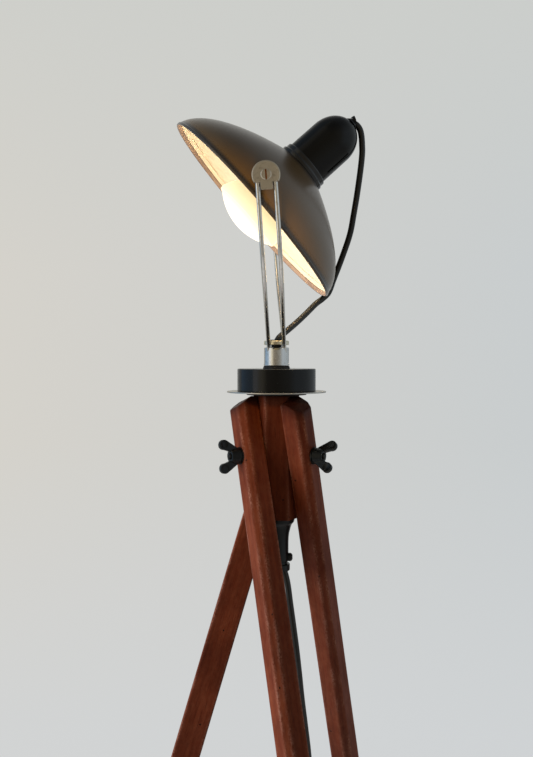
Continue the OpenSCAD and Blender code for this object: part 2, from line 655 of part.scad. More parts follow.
module shade() color([0.31, 0.26, 0.19]) in_head() difference() {
    rotate_extrude($fn = 180) polygon(concat(
        [for (i = [0 : dish_steps]) dish_at(dish_from + (1 - dish_from) * i / dish_steps, 0)],
        [[crown_hole_r, crown], [crown_hole_r, crown - dish_wall]],
        [for (i = [dish_steps : -1 : 0]) dish_at(dish_from + (1 - dish_from) * i / dish_steps, dish_wall)]));
    rotate([90, 0, 0]) cylinder(d = boss_d, h = 2 * rim_r, center = true);
}

module rim_ring() color([0.2, 0.2, 0.22]) in_head() translate([0, 0, mouth - rim_lip])
    rotate_extrude($fn = 180) polygon([[rim_r - rim_wall, 0.4], [rim_r - rim_wall + 0.4, 0], [rim_r - 0.6, 0], [rim_r, 0.7],
        [rim_r, 2.6], [dish_r(dish_from), rim_h], [dish_r(dish_from) - rim_wall, rim_h]]);

// Boss through the shade's wall that the pivot screw turns in
module pivot_boss(side) color("silver") in_head() rotate([side > 0 ? -90 : 90, 0, 0])
    translate([0, 0, boss_start]) ring(boss_d / 2, pivot_shank_r + run, boss_end - boss_start);

module flange_ring() color([0.07, 0.07, 0.07]) in_head() translate([0, 0, crown]) rotate_extrude() polygon([
    [clamp_r - 3, -dish_wall - 3], [clamp_r, -dish_wall - 3], [clamp_r, 0], [flange_d / 2 - 0.4, 0],
    [flange_d / 2, 0.5], [flange_d / 2, 3.6], [flange_d / 2 - 0.7, 4.2], [flange_d / 2 - flange_groove, 4.6],
    [flange_d / 2 - flange_groove, flange_h - 0.8], [flange_d / 2 - flange_groove - 0.7, flange_h],
    [housing_r - housing_wall, flange_h], [housing_r - housing_wall, 3], [clamp_r - 3, 3]]);

// Half-ellipse of the housing's domed end
function dome_points(r, h, z) = [for (i = [0 : 5 : 90]) [r * cos(i), z + h * sin(i)]];

module housing() color([0.06, 0.07, 0.07]) in_head() difference() {
    rotate_extrude() polygon(concat(
        [[housing_r - housing_wall, flange_end], [housing_r, flange_end], [dome_r, housing_end]],
        dome_points(dome_r, dome_h, housing_end),
        back(dome_points(dome_r - housing_wall, dome_h - housing_wall, housing_end))));
    translate([0, 0, housing_end]) cylinder(r = gland_hole_r + gland_wall, h = 2 * dome_h);
    for (a = vent_angle) rotate([0, 0, vent_view + a])
        translate([housing_r - 2 * housing_wall, -vent_w / 2, housing_end + 3 - vent_l])
            cube([4 * housing_wall, vent_w, vent_l]);
}

// Elbow outlet: a round foot on the dome and a collar that turns with the cord
function dome_drop(r) = dome_h * (1 - sqrt(1 - r * r / (dome_r * dome_r)));
gland_seat = dome_end - dome_drop(gland_hole_r + gland_wall);
module cord_gland() color([0.08, 0.08, 0.08]) in_head() difference() {
    union() {
        translate([0, 0, gland_seat - gland_sink])
            cylinder(r = gland_hole_r + gland_wall - wire_play, h = gland_sink + cut);
        translate([0, 0, gland_seat]) cylinder(r1 = gland_base_r, r2 = gland_neck_r, h = gland_base_h);
        translate([-gland_wall, 0, gland_seat + gland_base_h - gland_overlap / 2]) rotate([0, gland_turn, 0])
            cylinder(r1 = gland_neck_r - 0.2, r2 = gland_neck_r + 0.5, h = gland_neck_h);
    }
    translate([0, 0, housing_end]) cylinder(r = gland_hole_r, h = dome_h + gland_base_h);
    translate([0, 0, dome_end]) rotate([0, gland_turn + 7, 0])
        cylinder(r = gland_hole_r, h = 4 * gland_neck_h);
}

module lamp_holder() color("white") in_head() difference() {
    union() {
        translate([0, 0, holder_start + holder_skirt])
            cylinder(r = holder_r, h = holder_end - holder_start - holder_skirt);
        translate([0, 0, housing_end - holder_rim - holder_rim_h])
            cylinder(r = dome_r - housing_wall - wire_play, h = holder_rim_h);
        translate([0, 0, holder_end]) cylinder(r = holder_neck_r, h = 3);
    }
    translate([0, 0, holder_start])
        cylinder(r = cap_r + shell_play + shell_wall, h = cap_end - holder_start + shell_wall);
    translate([0, 0, holder_end - 4]) cylinder(r = cord_r + 0.2, h = 8);
}

module holder_shell() color("gold") in_head() difference() {
    translate([0, 0, holder_start])
        cylinder(r = cap_r + shell_play + shell_wall, h = cap_end + shell_wall - holder_start);
    translate([0, 0, holder_start - cut])
        cylinder(r = cap_r + shell_play, h = cap_end - holder_start + cut + 0.3);
}

module bulb_cap() color("silver") in_head() rotate_extrude() polygon([
    [0, bulb_foot - glass_in_cap], [cap_r - 0.4, bulb_foot - glass_in_cap], [cap_r, bulb_foot + 2],
    [cap_r, cap_end - 7], [9, cap_end - 3], [4.6, cap_end - 1], [4.6, cap_end], [0, cap_end]]);

// Reflector bulb: a shallow front dome, a round shoulder, and a flank that narrows to the cap, as a blown wall
function bulb_front(r) = bulb_tip + bulb_dome_r - sqrt(bulb_dome_r * bulb_dome_r - r * r);
bulb_r = bulb_d / 2;
bulb_wide = bulb_front(bulb_r - bulb_edge) + 2;
flank_r = bulb_r - 0.7;
flank_start = bulb_wide + 5;
function flank(t) = 0.64 * t + 0.72 * t * t - 0.36 * t * t * t;
function bulb_points(wall) = concat(
    [for (i = [0 : 9]) let (r = (bulb_r - bulb_edge) * i / 9) [r, bulb_front(r) + wall]],
    [[flank_r - wall, bulb_wide - 1.4], [bulb_r - wall, bulb_wide + 2], [flank_r - wall, flank_start]],
    [for (i = [1 : 8]) [flank_r - (flank_r - bulb_neck_r) * flank(i / 8) - wall,
        flank_start + (bulb_neck - flank_start) * i / 8]],
    [[cap_r - 0.4 - wall, bulb_foot - glass_in_cap]]);
module bulb_glass() color([1, 0.95, 0.8]) in_head() rotate_extrude()
    polygon(concat(bulb_points(0), back(bulb_points(glass_wall))));

// ---------- cords ----------

module cord_upper() color([0.1, 0.1, 0.1]) translate([0, 0, base_top])
    sweep(smooth(upper_route, 2), cord_r, cord_sides);

// The stretch of cord inside the tube, from the lower cord's first point to the upper cord's last
module cord_inner() color([0.1, 0.1, 0.1]) translate([0, 0, lower_route[0][2]])
    cylinder(r = cord_r, h = base_top + upper_route[len(upper_route) - 1][2] - part_gap - lower_route[0][2]);

module cord_lower() color([0.1, 0.1, 0.1]) sweep(smooth(lower_route, 2), cord_r, cord_sides);

module cord_tail() color([0.1, 0.1, 0.1]) sweep(smooth(tail_route, 2), cord_r, cord_sides);

module cord_coil() color([0.12, 0.12, 0.12]) translate([coil_at[0], coil_at[1], coil_lift])
    rotate_extrude() polygon([
        [coil_r - coil_w / 2 + coil_round, 0], [coil_r + coil_w / 2 - coil_round, 0],
        [coil_r + coil_w / 2, coil_round], [coil_r + coil_w / 2, coil_h - coil_round],
        [coil_r + coil_w / 2 - coil_round, coil_h], [coil_r - coil_w / 2 + coil_round, coil_h],
        [coil_r - coil_w / 2, coil_h - coil_round], [coil_r - coil_w / 2, coil_round]]);

module coil_tie() color("black") translate([coil_at[0] - coil_r, coil_at[1] + tie_w / 2, coil_lift])
rotate([90, 0, 0]) linear_extrude(tie_w) difference() {
    translate([-coil_w / 2 - tie_t - 0.6, -tie_t]) square([coil_w + 2 * tie_t + 1.2, coil_h + 2 * tie_t]);
    translate([-coil_w / 2 - 0.6, 0]) square([coil_w + 1.2, coil_h]);
}

// Frame of the plug: z runs from the boot's end to the pins
module at_plug() translate(plug_at) rotate([0, -90, 0]) children();

module plug_boot() color([0.1, 0.1, 0.1]) at_plug() difference() {
    cylinder(r1 = cord_r + 1, r2 = 6.6, h = boot_len);
    translate([0, 0, -cut]) cylinder(r = cord_r, h = boot_len / 2);
}

module plug_body() color([0.1, 0.1, 0.1]) at_plug() translate([0, 0, boot_len])
    rotate_extrude() polygon([[0, 0], [8.6, 0], [10.4, 1.6], [11.4, plug_waist], [plug_grip_r, plug_shoulder - 3],
        [plug_r, plug_shoulder], [plug_r, plug_len - 1], [plug_r - 1, plug_len], [0, plug_len]]);

module plug_pins() color("silver") at_plug() for (s = [-1, 1])
    translate([0, s * pin_gap / 2, boot_len + plug_len]) {
        cylinder(r = pin_r, h = pin_len - 2);
        translate([0, 0, pin_len - 2]) cylinder(r1 = pin_r, r2 = pin_r - 1.2, h = 2);
    }

hex_block();
top_plate();
plate_pad();
round_base();
base_washer();
tie_tube();
swivel_nut();
tube_nut();
bell();
bell_ring();
bell_screw();
bolt(0);  // bolt_l
bolt(1);  // bolt_r
bolt(2);  // bolt_b
leg(0);  // leg_l
leg(1);  // leg_r
leg(2);  // leg_b
foot(0);  // foot_l
foot(1);  // foot_r
foot(2);  // foot_b
leg_washer(0);  // leg_washer_l
leg_washer(1);  // leg_washer_r
leg_washer(2);  // leg_washer_b
wing_nut(0);  // wing_nut_l
wing_nut(1);  // wing_nut_r
wing_nut(2);  // wing_nut_b
fork_collar();
fork_cap();
cord_grommet();
fork_wire(-1);  // fork_wire_near
fork_wire(1);  // fork_wire_far
pivot_cover(-1);  // pivot_cover_near
pivot_cover(1);  // pivot_cover_far
pivot_screw(-1);  // pivot_screw_near
pivot_screw(1);  // pivot_screw_far
pivot_washer(-1);  // pivot_washer_near
pivot_washer(1);  // pivot_washer_far
pivot_nut(-1);  // pivot_nut_near
pivot_nut(1);  // pivot_nut_far
shade();
rim_ring();
pivot_boss(-1);  // pivot_boss_near
pivot_boss(1);  // pivot_boss_far
flange_ring();
housing();
cord_gland();
lamp_holder();
holder_shell();
bulb_cap();
bulb_glass();
cord_upper();
cord_inner();
cord_lower();
cord_coil();
coil_tie();
cord_tail();
plug_body();
plug_pins();
plug_boot();
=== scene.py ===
"""Finish of a tripod floor lamp: wood, metal, enamel, bulb and cords, in a plain studio."""

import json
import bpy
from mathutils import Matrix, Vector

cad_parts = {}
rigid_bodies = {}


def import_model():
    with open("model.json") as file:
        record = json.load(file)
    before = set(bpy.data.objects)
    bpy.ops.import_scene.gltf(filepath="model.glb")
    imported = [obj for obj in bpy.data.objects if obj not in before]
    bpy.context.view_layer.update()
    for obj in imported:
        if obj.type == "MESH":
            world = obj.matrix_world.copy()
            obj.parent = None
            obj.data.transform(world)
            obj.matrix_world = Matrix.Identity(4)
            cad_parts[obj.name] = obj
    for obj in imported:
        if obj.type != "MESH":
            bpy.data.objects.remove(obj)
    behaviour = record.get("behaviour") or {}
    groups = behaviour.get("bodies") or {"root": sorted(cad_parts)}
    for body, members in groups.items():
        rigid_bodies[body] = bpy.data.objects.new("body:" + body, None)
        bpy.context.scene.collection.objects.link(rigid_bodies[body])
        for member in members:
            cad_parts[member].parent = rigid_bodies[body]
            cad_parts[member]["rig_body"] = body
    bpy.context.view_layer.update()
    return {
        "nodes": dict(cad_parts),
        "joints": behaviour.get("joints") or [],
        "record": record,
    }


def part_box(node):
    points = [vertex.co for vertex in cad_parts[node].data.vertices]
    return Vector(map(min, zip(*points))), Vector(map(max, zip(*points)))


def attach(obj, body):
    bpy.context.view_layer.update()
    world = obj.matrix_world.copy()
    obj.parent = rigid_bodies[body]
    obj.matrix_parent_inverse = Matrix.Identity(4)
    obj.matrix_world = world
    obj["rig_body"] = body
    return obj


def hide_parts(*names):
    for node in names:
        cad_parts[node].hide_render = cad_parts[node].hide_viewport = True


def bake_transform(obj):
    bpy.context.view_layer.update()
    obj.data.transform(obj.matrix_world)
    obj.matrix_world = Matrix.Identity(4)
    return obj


bl_info = {
    "name": "Tripod Floor Lamp Finish",
    "version": (1, 0, 0),
    "blender": (4, 5, 0),
    "location": "View3D > Sidebar > Lamp",
    "description": "Builds the wood, metal, enamel, bulb and cords of a tripod floor lamp round its solids",
    "category": "Add Mesh",
}

import bmesh
import bpy
import numpy as np
from mathutils import Vector

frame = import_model()
NODES = frame["nodes"]
JOINTS = {joint["name"]: joint for joint in frame["joints"]}
MM = 0.001
SEAM = 2e-6  # points nearer than this are one point
SIDES = ("left", "right", "back")

# ---------- places taken from the solids ----------


def points_of(node):
    """All corner points of a solid, as one array."""
    flat = np.zeros(len(NODES[node].data.vertices) * 3)
    NODES[node].data.vertices.foreach_get("co", flat)
    return flat.reshape(-1, 3)


def unit(v):
    """Each vector over its own length."""
    return v / np.linalg.norm(v, axis=-1, keepdims=True)


def reach(node, origin, axis):
    """Where a solid starts and ends along an axis, and its largest radius round it."""
    from_origin = points_of(node) - origin
    along = from_origin @ axis
    radius = np.linalg.norm(from_origin - along[:, None] * axis, axis=1)
    return along.min(), along.max(), radius.max()


UP = np.array([0.0, 0.0, 1.0])
AXIS = np.zeros(3)  # a point on the lamp's own axis
PIVOT = np.array(JOINTS["head_tilt"]["pos_m"])
COLLAR_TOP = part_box("fork_collar")[1].z
BASE_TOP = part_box("round_base")[1].z
LEAN = np.arctan2(-PIVOT[0], PIVOT[2] - COLLAR_TOP)
FORK_H = np.hypot(PIVOT[0], PIVOT[2] - COLLAR_TOP)
HEAD = unit((points_of("flange_ring").mean(0) - PIVOT) * [1, 0, 1])
RIM_LOW, RIM_TOP, RIM_R = reach("rim_ring", PIVOT, HEAD)
CROWN = reach("shade", PIVOT, HEAD)[1]
LEG_PIVOT = np.array(JOINTS["leg_left_fold"]["pos_m"])
LEG_N = np.array(JOINTS["leg_left_fold"]["axis"])[:2]
FOOT = next(m["pos_m"] for m in frame["record"]["mounts"] if m["name"] == "foot_face_l")


# ---------- sizes and colours that a user would change ----------


def linear(code):
    """A colour from its sRGB hex code: each channel c is c / 12.92 where it is dark, and
    ((c + 0.055) / 1.055)^2.4 elsewhere."""
    c = np.array([int(code[i : i + 2], 16) for i in (1, 3, 5)]) / 255
    return (*np.where(c <= 0.04045, c / 12.92, ((c + 0.055) / 1.055) ** 2.4).tolist(), 1.0)


def size(name, what, default, low, high):
    """A length that can be changed in the sidebar, given in millimetres."""
    limits = {"default": default * MM, "min": low * MM, "max": high * MM}
    return bpy.props.FloatProperty(name=name, description=what, unit="LENGTH", **limits)


def tint(name, what, code):
    """A colour that can be changed in the sidebar."""
    return bpy.props.FloatVectorProperty(
        name=name, description=what, default=linear(code), size=4, min=0, max=1, subtype="COLOR"
    )


class LampSizes(bpy.types.PropertyGroup):
    """Sizes of the finish, which the solids leave open or repeat."""

    cord: size("Cord", "Diameter of the round flex", 6.2, 4, 8)
    wire: size("Wire", "Diameter of the fork's wires", 4, 3, 5)
    wire_gap: size("Wire gap", "Distance between the two wires of an arm", 15.5, 13, 17)
    crown: size("Crown", "Diameter of the flat at the dish's crown", 56.6, 50, 62)
    sheet: size("Sheet", "Wall of the spun dish", 1.2, 0.8, 2)
    rim_wall: size("Rim wall", "Wall of the rim band", 2, 1.5, 3)
    leg_wide: size("Leg width", "Width of a leg across its swing", 28, 24, 32)
    chamfer: size("Chamfer", "Chamfer on a leg's outer edges", 5.6, 3, 8)
    lobe: size("Lobe", "Radius of a wing nut's lobes", 5, 4, 6)


class LampColours(bpy.types.PropertyGroup):
    """Colours of the finish."""

    wood: tint("Wood", "Stained wood at its middle tone", "#7A3820")
    dish: tint("Dish", "Enamel on the dish's outside", "#685433")
    inside: tint("Inside", "Enamel inside the dish", "#E9DCC0")
    glow: tint("Glow", "Skin of the lit bulb", "#FFEFC6")
    enamel: tint("Enamel", "Enamel on the round base", "#040506")


# ---------- meshes ----------


def smooth(points, steps):
    """Curve through points: between b and c, with a before and d after them, it is
    (2b + (c-a)t + (2a-5b+4c-d)t^2 + (3b-a-3c+d)t^3) / 2, and the end points are repeated."""
    p = np.vstack([points[:1], points, points[-1:]])
    a, b, c, d = p[:-3, None], p[1:-2, None], p[2:-1, None], p[3:, None]
    t = (np.arange(steps) / steps)[None, :, None]
    curve = (2 * b + (c - a) * t + (2 * a - 5 * b + 4 * c - d) * t**2 + (3 * b - a - 3 * c + d) * t**3) / 2
    return np.vstack([curve.reshape(-1, p.shape[1]), points[-1:]])


def rounded(corners, radius, steps=4, closed=True):
    """Outline with each corner rounded: the cut starts a radius before the corner, ends a radius
    after it and is the curve (1-t)^2 start + 2t(1-t) corner + t^2 end. A radius of 0 keeps the corner."""
    corners = np.asarray(corners, float)
    before, after = np.roll(corners, 1, 0), np.roll(corners, -1, 0)
    radius = np.broadcast_to(np.asarray(radius, float), len(corners)).copy()
    if not closed:
        before[0], after[-1] = corners[0] + 1, corners[-1] + 1
        radius[[0, -1]] = 0
    room = np.minimum(*(np.linalg.norm(other - corners, axis=1) for other in (before, after)))
    cut = np.minimum(radius, 0.49 * room)[:, None]
    start, end = corners + cut * unit(before - corners), corners + cut * unit(after - corners)
    t = np.linspace(0, 1, steps + 1)[None, :, None]
    arcs = (1 - t) ** 2 * start[:, None] + 2 * t * (1 - t) * corners[:, None] + t**2 * end[:, None]
    line = arcs.reshape(-1, 2)
    keep = np.append(True, np.linalg.norm(np.diff(line, axis=0), axis=1) > SEAM)
    return line[keep]


def steps_along(points):
    """Length from the first point to each point of a line."""
    return np.cumsum(np.pad(np.linalg.norm(np.diff(points, axis=0), axis=1), (1, 0)))


def resampled(line, places, at):
    """Points of a line where its own places reach at."""
    return np.stack([np.interp(at, places, column) for column in line.T], -1)


def sheet_of(name, grid, material, attributes=None, others=()):
    """Mesh of a grid of points, rows by columns. Its UV map holds metres: columns follow the length
    along the rows, rows the length down the columns. Seams and poles are merged, and faces point out.
    others are (material, first row) pairs, for the rows from there on."""
    rows, columns = grid.shape[:2]
    corner = np.arange(rows * columns).reshape(rows, columns)
    faces = np.stack([corner[:-1, :-1], corner[:-1, 1:], corner[1:, 1:], corner[1:, :-1]], -1).reshape(-1, 4)
    mesh = bpy.data.meshes.new(name)
    mesh.from_pydata(grid.reshape(-1, 3), [], faces)
    side = np.linalg.norm(np.diff(grid, axis=1), axis=2)
    u = np.cumsum(np.pad(side[np.argmax(side.sum(1))], (1, 0)))
    down = np.linalg.norm(np.diff(grid, axis=0), axis=2)
    v = np.cumsum(np.pad(down[:, np.argmax(down.sum(0))], (1, 0)))
    uv = np.stack(np.broadcast_arrays(u[None, :], v[:, None]), -1).reshape(-1, 2)
    mesh.uv_layers.new(name="UVMap").data.foreach_set("uv", uv[faces.ravel()].ravel())
    for label, (kind, values) in (attributes or {}).items():
        field = "vector" if kind == "FLOAT_VECTOR" else "value"
        flat = np.ascontiguousarray(values, np.float32).ravel()
        mesh.attributes.new(label, kind, "POINT").data.foreach_set(field, flat)
    row = np.repeat(np.arange(rows - 1), columns - 1)
    finish = np.zeros(len(row), np.int32)
    mesh.materials.append(material)
    for other, first in others:
        mesh.materials.append(other)
        finish += row >= first
    mesh.polygons.foreach_set("material_index", finish)
    close_up(mesh)
    return show(name, mesh)


def close_up(mesh):
    """Merges a mesh's double points, drops empty faces, turns every face outwards and shades it smooth."""
    work = bmesh.new()
    work.from_mesh(mesh)
    bmesh.ops.remove_doubles(work, verts=work.verts, dist=SEAM)
    bmesh.ops.dissolve_degenerate(work, edges=work.edges, dist=SEAM / 2)
    bmesh.ops.recalc_face_normals(work, faces=work.faces)
    work.to_mesh(mesh)
    work.free()
    mesh.shade_smooth()


def show(name, mesh):
    """Links a mesh as a piece. Large faces lead its normals, so that flats stay flat beside round edges."""
    piece = bpy.data.objects.new(name, mesh)
    bpy.context.scene.collection.objects.link(piece)
    piece.modifiers.new("flats", "WEIGHTED_NORMAL").weight = 80
    return piece


def turned(name, profile, origin, axis, material, steps=96, ripple=None, **more):
    """Solid of revolution: profile point (r, z) goes to origin + z axis + r (cos t side + sin t other).
    ripple(r, z, t) gives each point its own radius, as for a thread or a knurl."""
    side = unit(np.cross([0, 1, 0] if abs(axis[1]) < 0.9 else [1, 0, 0], axis))
    other = np.cross(axis, side)
    t = np.linspace(0, 2 * np.pi, steps + 1)[None, :]
    r, z = profile[:, 0, None] + 0 * t, profile[:, 1, None] + 0 * t
    if ripple:
        r = ripple(r, z, t)
    circle = np.cos(t)[..., None] * side + np.sin(t)[..., None] * other
    return sheet_of(name, origin + z[..., None] * axis + r[..., None] * circle, material, **more)


def tube(name, path, radius, material, up, sides=24):
    """Round tube along a path: its rings are centre + radius (cos t a + sin t b), with a square to the
    path and nearest to up, b square to both, and each end closed to its centre. up may change along it."""
    ahead = unit(np.gradient(path, axis=0))
    a = unit(up - (up * ahead).sum(1, keepdims=True) * ahead)
    b = np.cross(ahead, a)
    t = np.linspace(0, 2 * np.pi, sides + 1)
    ring = np.cos(t)[:, None] * a[:, None] + np.sin(t)[:, None] * b[:, None]
    grid = path[:, None] + radius * ring
    ends = [np.repeat(path[[k], None], sides + 1, 1) for k in (0, -1)]
    return sheet_of(name, np.vstack([ends[0], grid, ends[1]]), material)


def softened(node, edge, material):
    """A copy of a solid with its doubles merged, its flat faces joined and its sharp edges bevelled."""
    mesh = NODES[node].data.copy()
    mesh.materials.clear()
    mesh.materials.append(material)
    if "custom_normal" in mesh.attributes:
        mesh.attributes.remove(mesh.attributes["custom_normal"])
    work = bmesh.new()
    work.from_mesh(mesh)
    bmesh.ops.remove_doubles(work, verts=work.verts, dist=SEAM)
    bmesh.ops.dissolve_limit(work, angle_limit=np.radians(0.4), verts=work.verts, edges=work.edges)
    work.to_mesh(mesh)
    work.free()
    mesh.shade_smooth()
    piece = show(node + "_finish", mesh)
    bevel = piece.modifiers.new("edges", "BEVEL")
    bevel.limit_method, bevel.angle_limit = "ANGLE", np.radians(32)
    bevel.width, bevel.segments, bevel.use_clamp_overlap = edge, 2, True
    piece.modifiers.move(1, 0)
    return put(piece, node, None, node)


def cast(node, grain, material, sculpt=None):
    """A copy of a solid with soft edges, as cast: it is cut to even cells of the size grain and
    relaxed, and sculpt(points) may then move its points."""
    rough = bpy.data.objects.new(node + "_rough", NODES[node].data.copy())
    bpy.context.scene.collection.objects.link(rough)
    cells = rough.modifiers.new("cells", "REMESH")
    cells.mode, cells.voxel_size, cells.use_smooth_shade = "VOXEL", grain, True
    relax = rough.modifiers.new("relax", "SMOOTH")
    relax.factor, relax.iterations = 0.5, 5
    relaxed = rough.evaluated_get(bpy.context.evaluated_depsgraph_get())
    mesh = bpy.data.meshes.new_from_object(relaxed)
    bpy.data.objects.remove(rough)
    if sculpt:
        flat = np.zeros(len(mesh.vertices) * 3)
        mesh.vertices.foreach_get("co", flat)
        mesh.vertices.foreach_set("co", sculpt(flat.reshape(-1, 3)).ravel())
    mesh.materials.clear()
    mesh.materials.append(material)
    mesh.shade_smooth()
    piece = show(node + "_finish", mesh)
    return put(piece, node, None, node)


def put(piece, like, slot=None, *instead):
    """The piece rides on a solid's body and stands for the solids named last, which are hidden.
    slot is not used."""
    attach(piece, NODES[like]["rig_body"])
    if instead:
        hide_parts(*instead)
    return piece


def coat(material, *nodes):
    """Solids that stay as they are get their finish."""
    for node in nodes:
        NODES[node].data.materials.clear()
        NODES[node].data.materials.append(material)


# ---------- materials ----------


def add(tree, kind, feeds=None, stops=None, **settings):
    """Adds a node. settings are its own properties, feeds gives its inputs values or the outputs that
    drive them, and stops are a ramp's positions and colours."""
    made = tree.nodes.new(kind)
    for name, value in settings.items():
        setattr(made, name, value)
    for place, (position, colour) in enumerate(stops or ()):
        marks = made.color_ramp.elements
        mark = marks[place] if place < 2 else marks.new(position)
        mark.position, mark.color = position, colour
    for name, value in (feeds or {}).items():
        if isinstance(value, bpy.types.NodeSocket):
            tree.links.new(value, made.inputs[name])
        else:
            made.inputs[name].default_value = value
    return made


def blank(name, **plain):
    """A new material, its node tree, and its shader with the plain values set on its own sockets."""
    material = bpy.data.materials.new(name)
    material.use_nodes = True
    shader = material.node_tree.nodes["Principled BSDF"]
    for socket, value in plain.items():
        shader.inputs[socket.replace("_", " ")].default_value = value
    return material, material.node_tree, shader


def cloud(tree, mm, stretch=(1, 1, 1), space="Object", detail=3.0, rough=0.55, shift=0.0):
    """Cloudy pattern whose patches measure mm millimetres, stretched by factors along its three axes.
    space is a Texture Coordinate output, or the name of an attribute that holds metres."""
    if space in ("Object", "UV"):
        metres = add(tree, "ShaderNodeTexCoord").outputs[space]
    else:
        metres = add(tree, "ShaderNodeAttribute", attribute_name=space).outputs["Vector"]
    feeds = {"Vector": metres, "Scale": tuple(1 / s for s in stretch), "Location": (shift,) * 3}
    moved = add(tree, "ShaderNodeMapping", feeds).outputs[0]
    feeds = {"Vector": moved, "Scale": 1 / (mm * MM), "Detail": detail, "Roughness": rough}
    return add(tree, "ShaderNodeTexNoise", feeds).outputs["Fac"]


def spread(tree, value, low, high, start=0.3, end=0.7):
    """Stretches a pattern's middle range, start to end, over low to high."""
    feeds = {"Value": value, "From Min": start, "From Max": end, "To Min": low, "To Max": high}
    return add(tree, "ShaderNodeMapRange", feeds).outputs["Result"]


def blend_colours(tree, share, first, second):
    """Mixes two colours by a pattern. A colour is a hex code, four numbers or an output."""
    first, second = (linear(c) if isinstance(c, str) else c for c in (first, second))
    return add(tree, "ShaderNodeMix", {0: share, 6: first, 7: second}, data_type="RGBA").outputs[2]


def toned(tree, colour, other, pattern, most, start=0.3, end=0.7):
    """The colour, with another coming in up to the share most while a pattern goes from start to end."""
    return blend_colours(tree, spread(tree, pattern, 0, most, start, end), colour, other)


def chosen(name):
    """One of the sidebar's colours."""
    return (*getattr(bpy.context.scene.lamp_colours, name)[:3], 1)


def paint(tree, shader, colour, roughness):
    """Gives a shader the patterns of its colour and its roughness."""
    tree.links.new(colour, shader.inputs["Base Color"])
    tree.links.new(roughness, shader.inputs["Roughness"])


def relief(tree, shader, *layers):
    """Bump on the shader's normal: each layer is a height pattern and its depth in millimetres."""
    normal = None
    for height, mm in layers:
        feeds = {"Height": height, "Distance": mm * MM, "Strength": 1.0}
        if normal:
            feeds["Normal"] = normal
        normal = add(tree, "ShaderNodeBump", feeds).outputs[0]
    tree.links.new(normal, shader.inputs["Normal"])


def stained_beech():
    """Beech, planed and stained mahogany red: fine pores and faint rings run along the piece, the edges
    are rubbed lighter, the top end is darkened with painted shade from the plate above it, and what is left
    of a varnish shines softly."""
    material, tree, shader = blank("mahogany-stained beech", Coat_Weight=0.04, Coat_Roughness=0.3, IOR=1.2)
    rings = add(tree, "ShaderNodeAttribute", attribute_name="grain").outputs["Vector"]
    rings = add(tree, "ShaderNodeMapping", {"Vector": rings, "Scale": (1, 1, 0.05), "Rotation": (0, 0, 0.7)})
    # A wave's period is 0.314 over its scale: 62 gives rings about 5 mm apart.
    feeds = {"Vector": rings.outputs[0], "Scale": 62, "Distortion": 5, "Detail": 3, "Detail Scale": 1.2}
    rings = add(tree, "ShaderNodeTexWave", feeds).outputs["Fac"]
    pores = cloud(tree, 0.7, (1, 1, 22), "grain", 2)
    streaks = cloud(tree, 3.4, (1, 1, 26), "grain", 4)
    patches = cloud(tree, 34, (1, 1, 2), "grain", 4)
    mottle = cloud(tree, 5, (1, 1, 1.6), "grain", 5, 0.65)
    colour = toned(tree, chosen("wood"), "#5A2410", streaks, 0.55, 0.3, 0.75)
    colour = toned(tree, colour, "#8C4A2C", rings, 0.25, 0, 1)
    colour = toned(tree, colour, "#94563A", mottle, 0.4, 0.4, 0.75)
    colour = toned(tree, colour, "#3C1208", patches, 0.7, 0.4, 0.75)
    colour = blend_colours(tree, spread(tree, pores, 0.4, 0, 0.3, 0.46), colour, "#2A0C06")
    # Pin holes about 1.5 mm across, some 55 mm apart
    cells = add(tree, "ShaderNodeTexCoord").outputs["UV"]
    feeds = {"Vector": cells, "Scale": 1 / (55 * MM)}
    cells = add(tree, "ShaderNodeTexVoronoi", feeds, voronoi_dimensions="2D").outputs["Distance"]
    holes = spread(tree, cells, 1, 0, 0.011, 0.017)
    colour = blend_colours(tree, holes, colour, "#050202")
    wear = add(tree, "ShaderNodeAttribute", attribute_name="wear").outputs["Fac"]
    blots = spread(tree, cloud(tree, 1.3, (1, 1, 1.5), "grain", 5, 0.7), 0, 1, 0.4, 0.66)
    areas = spread(tree, cloud(tree, 14, (1, 1, 2), "grain", 3, shift=3.0), 0.15, 1, 0.4, 0.62)
    rubbed = add(tree, "ShaderNodeMath", {0: wear, 1: blots}, operation="MULTIPLY").outputs[0]
    rubbed = add(tree, "ShaderNodeMath", {0: rubbed, 1: areas}, operation="MULTIPLY").outputs[0]
    colour = toned(tree, colour, "#AE7C66", rubbed, 0.9, 0, 0.9)
    # Painted shade: the attribute end darkens the wood towards the top, where the plate above shades it, and
    # over the whole block, which sits in shade between the legs.
    end = add(tree, "ShaderNodeAttribute", attribute_name="end").outputs["Fac"]
    colour = toned(tree, colour, "#120302", end, 0.85, 0, 1)
    paint(tree, shader, colour, spread(tree, patches, 0.36, 0.56))
    relief(tree, shader, (pores, 0.10), (streaks, 0.12), (holes, -0.6))
    return material


def brushed_enamel():
    """Gloss black enamel brushed by hand over metal: wet shine, long brush ridges and slight sags."""
    material, tree, shader = blank(
        "hand-brushed black enamel", IOR=1.2, Coat_Weight=0.45, Coat_Roughness=0.06
    )
    streaks = cloud(tree, 1.1, (22, 1, 1), "UV", 3)
    sags = cloud(tree, 7, (1.6, 1, 1), "UV", 2)
    colour = blend_colours(tree, sags, chosen("enamel"), "#06090D")
    paint(tree, shader, colour, spread(tree, streaks, 0.14, 0.34))
    relief(tree, shader, (streaks, 0.05), (sags, 0.35))
    return material


def dull_steel():
    """Mild steel sheet, cut and worn dull: pale grey with fine circling scratches and a few brown stains."""
    material, tree, shader = blank("worn steel sheet", Metallic=1.0)
    scratches = cloud(tree, 0.5, (40, 1, 1), "UV", 3)
    stains = cloud(tree, 9, (1, 1, 1), "Object", 4)
    colour = toned(tree, "#CFCCC4", "#8E7B63", stains, 0.6, 0.5, 0.8)
    paint(tree, shader, colour, spread(tree, scratches, 0.24, 0.42))
    relief(tree, shader, (scratches, 0.02))
    return material


